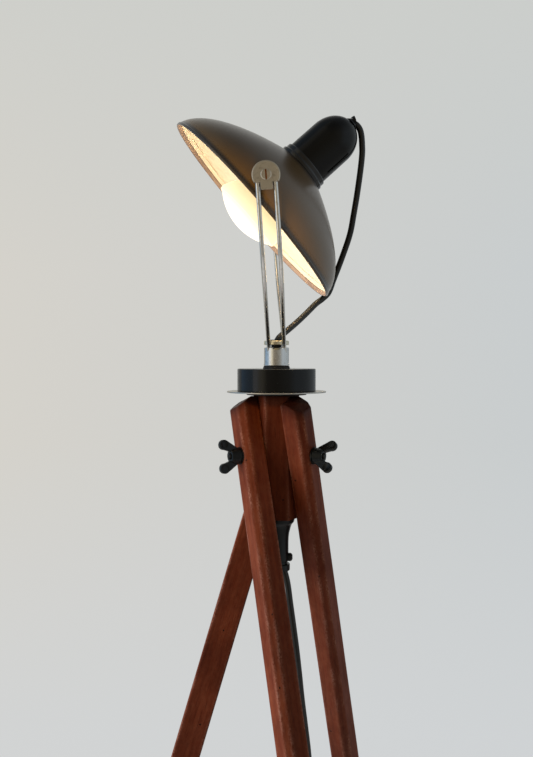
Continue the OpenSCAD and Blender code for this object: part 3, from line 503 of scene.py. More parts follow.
def plated(name, code, stain, roughness, mark=0.4, stretch=(1, 1, 12)):
    """Metal under a thin bright plate or lacquer: fine drawn lines and small stains. mark is the lines'
    width in millimetres."""
    material, tree, shader = blank(name, Metallic=1.0)
    lines = cloud(tree, mark, stretch, "Object", 2)
    stains = cloud(tree, 3, (1, 1, 1), "Object", 4)
    paint(tree, shader, toned(tree, code, stain, stains, 0.7, 0.52, 0.75), spread(tree, lines, *roughness))
    relief(tree, shader, (lines, 0.008))
    return material


def blackened_iron():
    """Cast iron, painted satin black: sandy skin under the paint and a cold green-blue sheen."""
    material, tree, shader = blank("blackened cast iron", IOR=1.3, Coat_Weight=0.3, Coat_Roughness=0.22)
    sand = cloud(tree, 0.8, (1, 1, 1), "Object", 4)
    lumps = cloud(tree, 4, (1, 1, 1), "Object", 2)
    paint(tree, shader, blend_colours(tree, lumps, "#020303", "#060D0D"), spread(tree, sand, 0.3, 0.55))
    relief(tree, shader, (sand, 0.10), (lumps, 0.18))
    return material


def spun_enamel(name, colour, patch, roughness, peel=0.05, fade=None, **plain):
    """Stoving enamel sprayed on spun sheet: faint spinning rings, a fine orange peel and soft tone
    patches. fade is (colour, start, end), where another tone comes in between two lengths along the
    sheet's own line. peel is the orange peel's depth in millimetres."""
    material, tree, shader = blank(name, **{"IOR": 1.5, "Coat_Weight": 0.5, "Coat_Roughness": 0.22, **plain})
    rings = cloud(tree, 2.4, (60, 1, 1), "UV", 2)
    skin = cloud(tree, 1.6, (1, 1, 1), "Object", 2)
    tones = cloud(tree, 45, (1, 1, 1), "Object", 3)
    tone = toned(tree, colour, patch, tones, 1)
    if fade:
        tone = toned(tree, tone, fade[0], down_the_sheet(tree), 0.95, *fade[1:])
    paint(tree, shader, tone, spread(tree, skin, *roughness))
    if peel:
        relief(tree, shader, (rings, peel * 1.2), (skin, peel))
    return material


def down_the_sheet(tree):
    """Length in metres along a turned sheet's own line."""
    spot = add(tree, "ShaderNodeTexCoord").outputs["UV"]
    return add(tree, "ShaderNodeSeparateXYZ", {"Vector": spot}).outputs["Y"]


def moulded(name, code, patch, roughness, grit=0.6, depth=0.02, **plain):
    """Moulded or extruded compound: even colour with faint clouds, and a skin of grit and depth in
    millimetres."""
    material, tree, shader = blank(name, **plain)
    skin = cloud(tree, grit, (1, 1, 1), "Object", 3)
    clouds = cloud(tree, 14, (1, 1, 1), "Object", 3)
    paint(tree, shader, blend_colours(tree, clouds, code, patch), spread(tree, skin, *roughness))
    relief(tree, shader, (skin, depth))
    return material


def frosted_glass():
    """Frosted glass, lit from inside: blinding on the dome, and less along the silvered flank."""
    material, tree, shader = blank("frosted lit glass", Roughness=0.35, IOR=1.5)
    along = down_the_sheet(tree)
    skin = toned(tree, "#FFF8EA", chosen("glow"), along, 1, 20 * MM, 46 * MM)
    skin = toned(tree, skin, "#FFD898", along, 1, 46 * MM, 75 * MM)
    tree.links.new(skin, shader.inputs["Emission Color"])
    strength = spread(tree, along, 1.3, 0.7, 30 * MM, 56 * MM)
    tree.links.new(strength, shader.inputs["Emission Strength"])
    shader.inputs["Base Color"].default_value = linear("#8C7C62")
    return material


# ---------- stage ----------

# Each light has a name, a place, what it is turned to, its sides, its watts and its colour.
LIGHTS = [
    ("window", (-1.75, -0.45, 1.6), (0, 0, 1.2), (1.3, 1.5), 35, "#FAF8FF"),
    ("wall_bounce", (1.75, -0.15, 1.3), (0, 0, 1.1), (1.2, 1.4), 7, "#FFF6EE"),
    ("low_window", (-0.9, -0.1, 0.5), (0, 0, 1.42), (1, 1), 4.6, "#F4F4FC"),
    ("lamp_bounce", (-0.05, -0.25, 1.32), (0, -0.09, 1.4), (0.05, 0.05), 0.3, "#FFC658"),
]
CAMERA_AT = (-0.010, -0.850, 1.2635)
LENS, SENSOR, CAMERA_SHIFT = 40.42, 36, -0.031


class StudioStage(bpy.types.Operator):
    """Camera, pale floor and world, window light and the room that bright metal reflects"""

    bl_idname = "lamp.stage"
    bl_label = "Stage"

    def execute(self, context):
        scene = context.scene
        scene.view_settings.view_transform = "Standard"
        place_camera(scene)
        light_world(scene)
        for light in LIGHTS:
            area_light(*light)
        pale_floor()
        return {"FINISHED"}


def place_camera(scene):
    """A level camera at the height of the fork's collar, 0.85 m before the lamp's axis."""
    camera = bpy.data.objects.new("camera", bpy.data.cameras.new("camera"))
    scene.collection.objects.link(camera)
    camera.location = CAMERA_AT
    camera.rotation_euler = (np.pi / 2, 0, 0)
    camera.data.sensor_width = SENSOR
    camera.data.lens = LENS
    camera.data.shift_y = CAMERA_SHIFT
    camera.data.clip_start = 0.05
    scene.camera = camera


def light_world(scene):
    """Pale wall for the camera and through glass, the room for mirrors and gloss, and a plain level
    for the rest."""
    scene.world = bpy.data.worlds.new("pale wall")
    scene.world.use_nodes = True
    tree = scene.world.node_tree
    tree.nodes.clear()
    look = add(tree, "ShaderNodeTexCoord").outputs["Generated"]
    parts = add(tree, "ShaderNodeSeparateXYZ", {"Vector": look}).outputs
    wall = toned(tree, "#D5D2CB", "#C9CDCE", parts["X"], 1, -0.32, 0.3)
    wall = toned(tree, wall, "#CCCECA", parts["Z"], 0.75, 0.1, 0.4)
    wall = toned(tree, wall, "#D1D4D6", parts["Z"], 0.75, -0.1, -0.4)
    rays = add(tree, "ShaderNodeLightPath").outputs
    feeds = {0: rays["Is Camera Ray"], 1: rays["Is Transmission Ray"]}
    seen = add(tree, "ShaderNodeMath", feeds, operation="MAXIMUM").outputs[0]
    looks = [(linear("#D9DCDD"), 0.07), (reflected_room(tree, parts), 1.0), (wall, 1.0)]
    lights, mirrored, shown = (
        add(tree, "ShaderNodeBackground", {"Color": colour, "Strength": level}).outputs[0]
        for colour, level in looks
    )
    both = add(tree, "ShaderNodeMixShader", {0: rays["Is Glossy Ray"], 1: lights, 2: mirrored}).outputs[0]
    both = add(tree, "ShaderNodeMixShader", {0: seen, 1: both, 2: shown}).outputs[0]
    add(tree, "ShaderNodeOutputWorld", {"Surface": both})


def reflected_room(tree, parts):
    """Colour of the room round the lamp: the turn runs from the wall behind the lamp through a cool
    window on the left, a warm wall, the dim room in front and the right side back to the wall, and all
    of it dims high up and low down."""
    front = add(tree, "ShaderNodeMath", {0: parts["Y"], 1: -1.0}, operation="MULTIPLY").outputs[0]
    turn = add(tree, "ShaderNodeMath", {0: parts["X"], 1: front}, operation="ARCTAN2").outputs[0]
    turn = spread(tree, turn, 0, 1, -np.pi, np.pi)
    walls = [
        (0, "#CFCFCA"), (0.06, "#BDBEBB"), (0.14, "#8F9290"), (0.17, "#8AA8C6"), (0.29, "#A6BACC"),
        (0.305, "#FFFFFF"), (0.335, "#FFFFFF"), (0.35, "#EEE6D4"), (0.385, "#E6DABE"), (0.42, "#8E8474"),
        (0.5, "#80786A"), (0.6, "#98968F"), (0.66, "#B2BAC0"), (0.83, "#A6AEB2"), (0.92, "#90969A"),
        (0.97, "#C4C5C2"), (1, "#CFCFCA"),
    ]  # fmt: skip
    tone = add(tree, "ShaderNodeValToRGB", {0: turn}, [(p, linear(c)) for p, c in walls]).outputs[0]
    tone = toned(tree, tone, "#5E6062", parts["Z"], 0.85, 0.45, 0.9)
    return toned(tree, tone, "#8C8A86", parts["Z"], 0.85, -0.15, -0.5)


def area_light(name, at, towards, sides, watts, code):
    """A soft rectangular light at a point, turned towards another."""
    light = bpy.data.lights.new(name, "AREA")
    light.shape, light.energy, light.color = "RECTANGLE", watts, linear(code)[:3]
    light.size, light.size_y = sides
    lamp = bpy.data.objects.new(name, light)
    bpy.context.scene.collection.objects.link(lamp)
    lamp.location = at
    lamp.visible_camera = lamp.visible_glossy = lamp.visible_transmission = False
    lamp.rotation_euler = (Vector(towards) - Vector(at)).to_track_quat("-Z", "Y").to_euler()


def pale_floor():
    """Round floor under the lamp: it takes the shadow near the feet, gives off a little light of its
    own and fades into the pale wall further out."""
    reach_out, drop = 1.7, 0.2 * MM
    r, t = np.meshgrid(np.linspace(0, reach_out, 24), np.linspace(0, 2 * np.pi, 97), indexing="ij")
    grid = np.stack([r * np.cos(t), r * np.sin(t), -drop + 0 * r], -1)
    material, tree, shader = blank("pale studio floor", Roughness=0.9)
    shader.inputs["Base Color"].default_value = linear("#F0F1EF")
    shader.inputs["Specular IOR Level"].default_value = 0.1
    shader.inputs["Emission Color"].default_value = linear("#CDCFCC")
    shader.inputs["Emission Strength"].default_value = 0.2
    spot = add(tree, "ShaderNodeTexCoord").outputs["Object"]
    out = add(tree, "ShaderNodeVectorMath", {0: spot}, operation="LENGTH").outputs["Value"]
    feeds = {"Value": out, "From Min": 0.7, "From Max": 1.6}
    fade = add(tree, "ShaderNodeMapRange", feeds, interpolation_type="SMOOTHSTEP")
    clear = add(tree, "ShaderNodeBsdfTransparent").outputs[0]
    both = add(tree, "ShaderNodeMixShader", {0: fade.outputs[0], 1: shader.outputs[0], 2: clear}).outputs[0]
    tree.links.new(both, tree.nodes["Material Output"].inputs["Surface"])
    sheet_of("floor", grid, material)


# ---------- cords ----------

# The upper cord counts from the lamp's axis and the round base's top, in millimetres.
UPPER_ROUTE = [
    (62.7, 0, 233.7), (67.5, 0, 238), (71.9, 0, 241.9), (75.5, 0, 244.4), (78.8, 0.2, 244.4),
    (81.7, 0.6, 242), (83.9, 1.1, 238.2), (85.2, 1.8, 232.6), (85.9, 3.2, 225), (86.2, 5, 216),
    (85.1, 9.8, 201), (82.6, 17, 179), (79.6, 23.5, 158), (76.2, 30, 138), (68.2, 36.6, 113.5),
    (60.2, 39, 92.5), (55, 38.8, 79), (48, 36.4, 71.8), (41.2, 32.8, 66.6), (30.6, 25.2, 56),
    (21.8, 17.8, 47.6), (13.6, 10.2, 40.4), (8.6, 6.2, 36.2), (5, 3.5, 33.2), (2.6, 1.8, 30.9),
    (1.1, 0.7, 28.6), (0.3, 0.2, 26.2), (0, 0, 24), (0, 0, 21.8),
]  # fmt: skip
# The lower cord and its tail count from the floor under the lamp's axis.
LOWER_ROUTE = [
    (0, 0, 1089.5), (0, 0, 1083), (0.8, 0, 1075), (2.6, 0, 1066), (5.2, 0, 1056.8), (7.8, 0, 1048),
    (10, 0, 1040), (11.8, 0, 1030), (13.3, 0, 1018), (16.6, 0.8, 994), (20, 2.6, 968), (22.9, 6.8, 942),
    (25.7, 12.2, 915), (29.5, 18.6, 884), (33.2, 25, 852), (36.2, 30.6, 810), (38.4, 35, 750),
    (40, 38.4, 650), (41, 40, 550), (41.6, 41, 450), (42, 42, 350), (42, 42, 250), (42, 42, 150),
    (42, 42, 90), (42.4, 43, 60), (43.8, 46.6, 35), (47, 54.6, 15.6), (53, 67, 6), (61, 82, 3.2),
    (69, 99, 3.1), (75, 115, 3.1), (77.2, 130, 3.1),
]  # fmt: skip
TAIL_ROUTE = [
    (40, 167.2, 21.7), (28, 167.2, 21.7), (16, 167.2, 21.1), (4, 167.2, 20), (-8, 167.2, 19),
    (-18, 167.2, 18.5), (-28, 167.2, 18.4),
]  # fmt: skip


def coil_route(diameter):
    """Coil of four layers of two turns. The angle runs on, and each 315 degrees it moves within 45 degrees
    to the next place by s = 3t^2 - 2t^3: inwards, up, outwards, up, inwards, up and outwards, one diameter
    each."""
    centre, wide = np.array([40.0, 130.0]) * MM, 37.2 * MM
    angle = np.radians(np.arange(15, 2250, 15))[:, None]
    move = np.clip((np.degrees(angle) - 315 * np.arange(1, 8)) / 45, 0, 1)
    move = 3 * move**2 - 2 * move**3
    r = wide + diameter * move @ [-1, 0, 1, 0, -1, 0, 1]
    z = diameter / 2 + diameter * move @ [0, 1, 0, 1, 0, 1, 0]
    return np.stack([centre[0] + r * np.cos(angle[:, 0]), centre[1] + r * np.sin(angle[:, 0]), z], -1)


class Cords(bpy.types.Operator):
    """Flex from the lampholder to the fork, and flex from the stand to the coil and the plug"""

    bl_idname = "lamp.cords"
    bl_label = "Cords"

    def execute(self, context):
        thick = context.scene.lamp_sizes.cord
        flex = moulded(
            "smooth black flex", "#0B0C0B", "#141512", (0.26, 0.4), 2.5, 0.03, IOR=1.5, Coat_Weight=0.2
        )
        coat(flex, "cord_inner")
        upper = smooth(np.array(UPPER_ROUTE) * MM + [0, 0, BASE_TOP], 8)
        piece = tube("upper_flex", upper, thick / 2, flex, np.array([0.0, 1.0, 0.0]))
        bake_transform(piece)
        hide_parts("cord_upper")
        plug = make_plug()
        tie = make_tie()
        lower = np.vstack([np.array(LOWER_ROUTE) * MM, coil_route(thick), np.array(TAIL_ROUTE) * MM])
        lower = smooth(lower, 4)
        ahead = unit(np.gradient(lower, axis=0))
        # A ring starts at a fixed side on the drop, and at its top where the flex lies flat.
        flat = np.clip(1 - np.abs(ahead[:, 2:]) * 1.4, 0, 1)
        piece = tube("lower_flex", lower, thick / 2, flex, (1 - flat) * [1.0, 0.3, 0.0] + flat * UP, 16)
        put(piece, "cord_lower", "cord", "cord_lower", "cord_coil", "cord_tail")
        return {"FINISHED"}


def make_plug():
    """Moulded plug: a round body with grip flutes, a ribbed boot that tapers to the flex, and two brass
    pins."""
    shell = moulded("moulded plug compound", "#101111", "#171817", (0.42, 0.6), 0.5, 0.04, IOR=1.5)
    back = np.array([-1.0, 0.0, 0.0])
    low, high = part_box("plug_boot")
    start = np.array([high.x, *np.mean([low, high], 0)[1:]])
    boot_long, wide = reach("plug_boot", start, back)[1:]
    thin, groove, ribs, bore = 4.1 * MM, 0.7 * MM, 7, 3.15 * MM
    rings = np.linspace(0, 1, 120)
    ridge = 0.5 + 0.5 * np.cos(2 * np.pi * ribs * rings)
    taper = thin + (wide - thin) * rings
    profile = np.stack([taper - groove * (1 - ridge) * (rings < 0.93), rings * boot_long], -1)
    bore = [(bore, boot_long), (bore, 0), (taper[0], 0)]
    boot = turned("plug_strain_relief", np.vstack([profile, bore]), start, back, shell, 48)
    put(boot, "plug_boot", "plug", "plug_boot")
    low, high, wide = reach("plug_body", start, back)
    body_long = high - low
    shape = np.array([(0, 0), (8.6, 0), (10.4, 1.6), (11.4, 12), (15, 20), (17.8, 23), (17.8, 36), (0, 36)])
    shape = shape * ([wide, body_long] / (shape.max(0) * MM))
    line = rounded(shape, [0, 1.5, 3, 9, 6, 2.5, 1.5, 0], 6, closed=False) * MM + [0, low]
    line = resampled(line, np.linspace(0, 1, len(line)), np.linspace(0, 1, len(line) * 3))

    def flutes(r, z, t):
        """Twelve shallow grip flutes on the waist: the radius loses up to 8 percent."""
        waist = np.exp(-(((z - low) / body_long - 0.3) / 0.17) ** 2)
        return r * (1 - 0.08 * waist * (1 - np.abs(np.cos(6 * t)) ** 0.5))

    body = turned("plug_grip", line, start, back, shell, 144, flutes)
    put(body, "plug_body", "plug", "plug_body")
    coat(plated("nickelled brass pins", "#D8C99A", "#8A7A54", (0.14, 0.3)), "plug_pins")
    return [boot, body, "plug_pins"]


def make_tie():
    """Flat strap once round the coil: an outline with round corners carried 9 mm along the coil's turn."""
    low, high = (np.array(c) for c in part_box("coil_tie"))
    middle, half = (low + high) / 2, (high - low) / 2
    wide, tall, inset, wall = half[0], half[2], 0.9 * MM, 1.1 * MM
    corners = np.array([(wide, tall), (-wide, tall), (-wide, inset - tall), (wide, inset - tall)])
    outer = rounded(corners, 3 * MM, 8)
    inner = rounded(corners * [1 - wall / wide, 1 - wall / tall], 2.6 * MM, 8)
    rings = [(outer, -1), (outer, 1), (inner, 1), (inner, -1), (outer, -1)]
    grid = np.array([[(x, side * half[1], z) for x, z in [*ring, ring[0]]] for ring, side in rings]) + middle
    piece = sheet_of("coil_strap", grid, moulded("woven strap", "#0C0C0D", "#1A1A1C", (0.7, 0.9), 0.5, 0.1))
    return put(piece, "coil_tie", "plug", "coil_tie")


# ---------- wood ----------


class Wood(bpy.types.Operator):
    """Three chamfered legs and the six-sided block between them"""

    bl_idname = "lamp.wood"
    bl_label = "Wood"

    def execute(self, context):
        wood = stained_beech()
        for number, side in enumerate(SIDES):
            make_leg(context.scene.lamp_sizes, side, number, wood)
        low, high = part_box("hex_block")
        corner = (high.x - low.x) / 2
        turn = np.radians(np.arange(0, 360, 60))
        outline = np.stack([corner * np.cos(turn), corner * np.sin(turn)], -1)
        # The last value, 0.5, lays painted shade over the whole block, which sits in shade between the legs.
        block = bar(
            "block", outline, 1.0 * MM, low.z, lambda x, y: high.z + 0 * x, wood, np.eye(3), AXIS, 0.9, 0.5
        )
        put(block, "hex_block", "wood", "hex_block")
        return {"FINISHED"}


def make_leg(sizes, side, number, wood):
    """One leg: its outline is a rectangle with the two outer edges chamfered, and its top is cut level for
    a little way and then slopes down outwards. It is built along its own axis and turned to its splay about
    its bolt."""
    n = np.array(JOINTS[f"leg_{side}_fold"]["axis"])
    across = np.cross(UP, n)
    foot = np.array(FOOT[:2])
    splay = np.arctan2(np.linalg.norm(foot - (foot @ LEG_N) * LEG_N), LEG_PIVOT[2])
    y = np.cos(splay) * across + np.sin(splay) * UP
    z = np.cos(splay) * UP - np.sin(splay) * across
    node = "leg_" + side[0]
    turned_points = (points_of(node) - LEG_PIVOT) @ np.stack([n, y, z]).T
    inside, outside = turned_points[:, 0].min(), turned_points[:, 0].max()
    bottom, top = turned_points[:, 2].min(), turned_points[:, 2].max()
    half, c = sizes.leg_wide / 2, sizes.chamfer
    outline = [
        (inside, -half), (outside - c, -half), (outside, c - half), (outside, half - c), (outside - c, half),
        (inside, half),
    ]  # fmt: skip
    flat, bevel = 7 * MM, 9 * MM
    slope = bevel / (outside - inside - flat)
    leg = bar(
        f"leg_{side}", np.array(outline), 1.3 * MM, bottom,
        lambda x, y: top - np.maximum(x - inside - flat, 0) * slope, wood, np.stack([n, y, z]), LEG_PIVOT,
        number * 0.37,
    )  # fmt: skip
    put(leg, node, "wood", node)


def bar(name, corners, edge, bottom, top_at, material, frame_axes, origin, shift, dark=0.0):
    """Planed bar: a rounded outline carried along z from bottom up to top_at(x, y), with its ends rounded
    over and closed. The faces wander by up to 0.1 mm. grain holds each point's place in the bar's own
    frame, in metres, wear is exp(-(d / 2 mm)^2) with d the distance to the nearest edge, and end is exp(-d
    / 9 mm) with d the depth below the top, but never less than dark. end marks painted shade: the wood
    darkens towards the top, and dark lays painted shade over the whole bar."""
    line = rounded(corners, edge, 4)
    line = np.vstack([line, line[:1]])
    length = steps_along(line)
    line = resampled(line, length, np.linspace(0, length[-1], 97))
    line[-1] = line[0]
    from_edge = np.linalg.norm(line[:, None] - corners[None], axis=2).min(1)
    middle = corners.mean(0)
    rows, over, cap = 140, np.linspace(0, np.pi / 2, 4)[1:], np.array([0.8, 0.6, 0.4, 0.2, 0])
    # Each ring is a share of the height, a step down from the end, and a scale about the middle.
    shares = np.concatenate([np.linspace(0, 1, rows), np.ones(len(over) + len(cap))])
    drop = np.concatenate([np.full(rows, edge), edge * (1 - np.sin(over)), 0 * cap])
    inset = np.concatenate([np.zeros(rows), edge * (1 - np.cos(over)), np.full(len(cap), edge)])
    scale = np.concatenate([np.ones(rows + len(over)), cap])
    half = np.abs(corners - middle).max(0)
    xy = middle + (line - middle)[None] * (scale[:, None] * (1 - inset[:, None] / half))[:, None]
    x, y = xy[..., 0], xy[..., 1]
    z = bottom + shares[:, None] * (top_at(x, y) - drop[:, None] - bottom)
    wander = 0.1 * MM * np.sin(z / (43 * MM) + 3 * x / half[0] + 9 * shift)
    wander = wander * np.sin(z / (110 * MM) + 2 * y / half[1])
    x = x + wander * scale[:, None] * np.sign(x - middle[0]) * (np.abs(x - middle[0]) > 0.5 * half[0])
    local = np.stack([x, y, z], -1)
    foot = local[:1].copy()
    foot[..., :2] = middle
    local = np.concatenate([foot, local])
    wear = np.exp(-((from_edge[None] / (2 * MM)) ** 2)) * np.ones_like(x)
    # Painted shade: end darkens the wood near the top, and dark lays it over the whole bar.
    end = np.maximum(np.exp(-(top_at(x, y) - z) / (9 * MM)), dark)
    wear, end = (np.concatenate([field[:1], field]) for field in (wear, end))
    own = {"grain": ("FLOAT_VECTOR", local + shift), "wear": ("FLOAT", wear), "end": ("FLOAT", end)}
    return sheet_of(name, origin + local @ frame_axes, material, attributes=own)


class Feet(bpy.types.Operator):
    """Rubber shoes on the legs' ends"""

    bl_idname = "lamp.feet"
    bl_label = "Feet"

    def execute(self, context):
        rubber = moulded("moulded rubber", "#17181A", "#222325", (0.62, 0.8), 0.9, 0.06, IOR=1.52)
        for side in "lrb":
            softened("foot_" + side, 1.2 * MM, rubber)
        return {"FINISHED"}


# ---------- clamps ----------


class Clamps(bpy.types.Operator):
    """Bolts with their threads, washers and wing nuts"""

    bl_idname = "lamp.clamps"
    bl_label = "Clamps"

    def execute(self, context):
        iron = blackened_iron()
        black_thread = plated("oiled steel thread", "#3B3A38", "#15130F", (0.3, 0.5))
        for side in SIDES:
            n = np.array(JOINTS[f"leg_{side}_fold"]["axis"])
            make_bolt(side, n, black_thread)
            make_wing_nut(context.scene.lamp_sizes, side, n, iron)
            softened("leg_washer_" + side[0], 0.25 * MM, black_thread)
        return {"FINISHED"}


def make_bolt(side, n, material):
    """Bolt with a thread on its outer half: the radius falls by up to 0.5 mm as a triangle wave of z / 1 mm
    + t / 2 pi."""
    node = "bolt_" + side[0]
    low, high, r = reach(node, LEG_PIVOT, n)
    start = low + 22 * MM
    shank = np.arange(start, high - 0.9 * MM, 0.125 * MM)
    z = np.concatenate([[low, low], shank, [high - 0.8 * MM, high, high]])
    radius = np.concatenate([[0], np.full(len(z) - 3, r), [r - 0.8 * MM, 0]])

    def thread(r, z, t):
        """Radius of each point once the thread is cut."""
        turn = (z / MM + t / (2 * np.pi)) % 1
        cut = 0.5 * MM * (1 - np.abs(2 * turn - 1)) * ((z > start) & (z < high - 0.85 * MM))
        return np.maximum(r - cut * (r > 1 * MM), 0)

    piece = turned(f"bolt_{side}_threaded", np.stack([radius, z], -1), LEG_PIVOT, n, material, 32, thread)
    put(piece, node, "iron", node)


def make_wing_nut(sizes, side, n, material):
    """Cast wing nut: its lobes are dished on both faces, which leaves a raised edge round each of them."""
    node = "wing_nut_" + side[0]
    own = points_of(node) - LEG_PIVOT
    base = (own @ n).min()
    flat = own - (own @ n)[:, None] * n
    wing = unit(flat[np.argmax(np.linalg.norm(flat, axis=1))])
    out = np.abs(flat @ wing).max() - sizes.lobe
    up = (own @ n).max() - base - sizes.lobe
    thick = np.cross(n, wing)

    def dish(points):
        """Pushes the faces of each lobe in by 0.9 mm (1 - (d / R)^2), with d the distance to the lobe's
        centre."""
        p = points - LEG_PIVOT
        d = np.hypot(np.abs(p @ wing) - out, p @ n - base - up) / (sizes.lobe - 1.1 * MM)
        depth = 0.9 * MM * np.clip(1 - d**2, 0, 1)
        return points - (np.sign(p @ thick) * np.minimum(depth, np.abs(p @ thick) * 0.6))[:, None] * thick

    return cast(node, 0.42 * MM, material, dish)


# ---------- stand ----------


class Base(bpy.types.Operator):
    """Round enamelled base, steel plate, pad and washer"""

    bl_idname = "lamp.base"
    bl_label = "Base"

    def execute(self, context):
        rubber = moulded("black fibre washer", "#0B0B0C", "#151516", (0.55, 0.75), 0.7, 0.03)
        disc("base_drum", "round_base", [0.2 * MM, 0.9 * MM, 1.3 * MM, 0.3 * MM], brushed_enamel())
        disc("steel_plate", "top_plate", 0.3 * MM, dull_steel())
        disc("block_pad", "plate_pad", 0.6 * MM, rubber)
        softened("base_washer", 0.3 * MM, rubber)
        return {"FINISHED"}


def disc(name, node, radius, material):
    """A turned ring as wide and as high as a solid on the lamp's axis, bored for the tie tube, with
    rounded corners and closed on itself."""
    hole = reach("tie_tube", AXIS, UP)[2]
    low, high, wide = reach(node, AXIS, UP)
    line = rounded([(hole, low), (wide, low), (wide, high), (hole, high)], radius, 4)
    steps = np.concatenate([np.linspace(0, 1, 7)[:-1] + k for k in range(len(line))])
    line = np.vstack([line, line[:1]])
    line = resampled(line, np.arange(len(line)), steps)
    piece = turned(name, np.vstack([line, line[:1]]), AXIS, UP, material, 192)
    return put(piece, node, None, node)


class Bell(bpy.types.Operator):
    """Bell under the block, its end ring and its side screw"""

    bl_idname = "lamp.bell"
    bl_label = "Bell"

    def execute(self, context):
        iron = blackened_iron()
        cast("bell", 0.55 * MM, iron)
        softened("bell_ring", 0.4 * MM, iron)
        softened("bell_screw", 0.4 * MM, iron)
        coat(plated("zinc-plated steel nut", "#A9A9A5", "#5D564B", (0.3, 0.5)), "tube_nut")
        return {"FINISHED"}


# ---------- swivel and fork ----------


class Swivel(bpy.types.Operator):
    """Chromed collar, ring nut, cap disc, grommet and the tube inside"""

    bl_idname = "lamp.swivel"
    bl_label = "Swivel"

    def execute(self, context):
        chrome = plated("chromed turned steel", "#E2E2E0", "#B1AA9E", (0.2, 0.3), 0.5, (14, 14, 1))
        brass = plated("turned brass", "#EFE6CC", "#B5A584", (0.22, 0.34), 0.4, (14, 14, 1))
        softened("fork_collar", 0.35 * MM, chrome)
        softened("fork_cap", 0.35 * MM, brass)
        coat(brass, "swivel_nut", "tie_tube")
        softened("cord_grommet", 0.25 * MM, moulded("black rubber grommet", "#0A0A0A", "#131313", (0.5, 0.7)))
        return {"FINISHED"}


class Fork(bpy.types.Operator):
    """Two arms, each one bent and chromed wire"""

    bl_idname = "lamp.fork"
    bl_label = "Fork"

    def execute(self, context):
        sizes = context.scene.lamp_sizes
        chrome = plated("chromed steel wire", "#F0EDE6", "#C8BDA9", (0.14, 0.26), 0.8, (1, 1, 9))
        for side, name in ((-1, "near"), (1, "far")):
            path = fork_path(sizes, side)
            piece = tube(f"arm_wire_{name}", path, sizes.wire / 2, chrome, np.array([1.0, 0.0, 0.0]), 28)
            put(piece, "fork_wire_" + name, "chrome", "fork_wire_" + name)
        return {"FINISHED"}


def fork_path(sizes, side):
    """Line of one arm's wire: out of the collar, along the curve (1-t)^3 a + 3t(1-t)^2 b + 3t^2(1-t) c +
    t^3 d to the straight arm, half round the pivot, and back down."""
    foot, lean, sunk = 8.2 * MM, np.radians(17), 10.6 * MM
    hold_foot, hold_arm, straight = 30 * MM, 60 * MM, 107 * MM
    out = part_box("fork_wire_far")[1].y - sizes.wire / 2
    way = np.array([np.sin(lean), np.cos(lean)])
    a, d = np.array([foot, 0]), np.array([out, straight])
    t = np.linspace(0, 1, 49)[:, None]
    b, c = a + hold_foot * way, d - [0, hold_arm]
    curve = (1 - t) ** 3 * a + 3 * t * (1 - t) ** 2 * b + 3 * t**2 * (1 - t) * c + t**3 * d
    rise = [[out, z] for z in np.linspace(straight, FORK_H, 14)[1:-1]]
    arm = np.vstack([a - sunk * way, a - 0.5 * sunk * way, curve, rise])
    half = sizes.wire_gap / 2
    up = np.column_stack([np.full(len(arm), -half), side * arm[:, 0], arm[:, 1]])
    turn = np.linspace(0, np.pi, 33)
    loop = np.column_stack([-half * np.cos(turn), np.full(33, side * out), FORK_H + half * np.sin(turn)])
    path = np.vstack([up, loop, up[::-1] * [-1, 1, 1]])
    spin = np.array([[np.cos(LEAN), 0, np.sin(LEAN)], [0, 1, 0], [-np.sin(LEAN), 0, np.cos(LEAN)]])
    return path @ spin + [0, 0, COLLAR_TOP]


class Pivots(bpy.types.Operator):
    """Covers, slotted screws, washers, nuts and bosses on the head's axis"""

    bl_idname = "lamp.pivots"
    bl_label = "Pivots"

    def execute(self, context):
        nickel = plated("satin nickel plate", "#DDD2BE", "#B3A68F", (0.32, 0.48), 0.35, (1, 1, 6))
        steel = plated("zinc-plated steel pivot", "#B4B4B0", "#6A6358", (0.25, 0.4))
        slot_floor = moulded("dark brown slot floor", "#4A2E14", "#6B4722", (0.6, 0.8))
        for side, name in ((-1, "near"), (1, "far")):
            softened("pivot_cover_" + name, 0.15 * MM, nickel)
            softened("pivot_screw_" + name, 0.2 * MM, nickel)
            coat(steel, *(f"pivot_{part}_{name}" for part in ("washer", "nut", "boss")))
            cover, screw = (max(abs(y) for y in ys(f"pivot_{part}_{name}")) for part in ("cover", "screw"))
            half, top, drop = 5.2 * MM, -5.8 * MM, -12.9 * MM
            tab = [(-half, top), (half, top), (half, drop), (-half, drop)]
            radii = [0.1 * MM, 0.1 * MM, 1.8 * MM, 1.8 * MM]
            piece = slab("tab_" + name, tab, radii, cover - 2 * MM, cover - 0.5 * MM, side, nickel)
            put(piece, "pivot_cover_" + name)
            # A dark brown sheet lies at the bottom of each screw's slot.
            wide, tall = 0.7 * MM, 4.4 * MM
            slot = [(-wide, -tall), (wide, -tall), (wide, tall), (-wide, tall)]
            piece = slab("slot_" + name, slot, 0.1 * MM, screw - 1.1 * MM, screw - 0.7 * MM, side, slot_floor)
            put(piece, "pivot_screw_" + name)
        return {"FINISHED"}


def ys(node):
    """A node's two limits along the pivots' axis."""
    low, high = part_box(node)
    return low.y, high.y


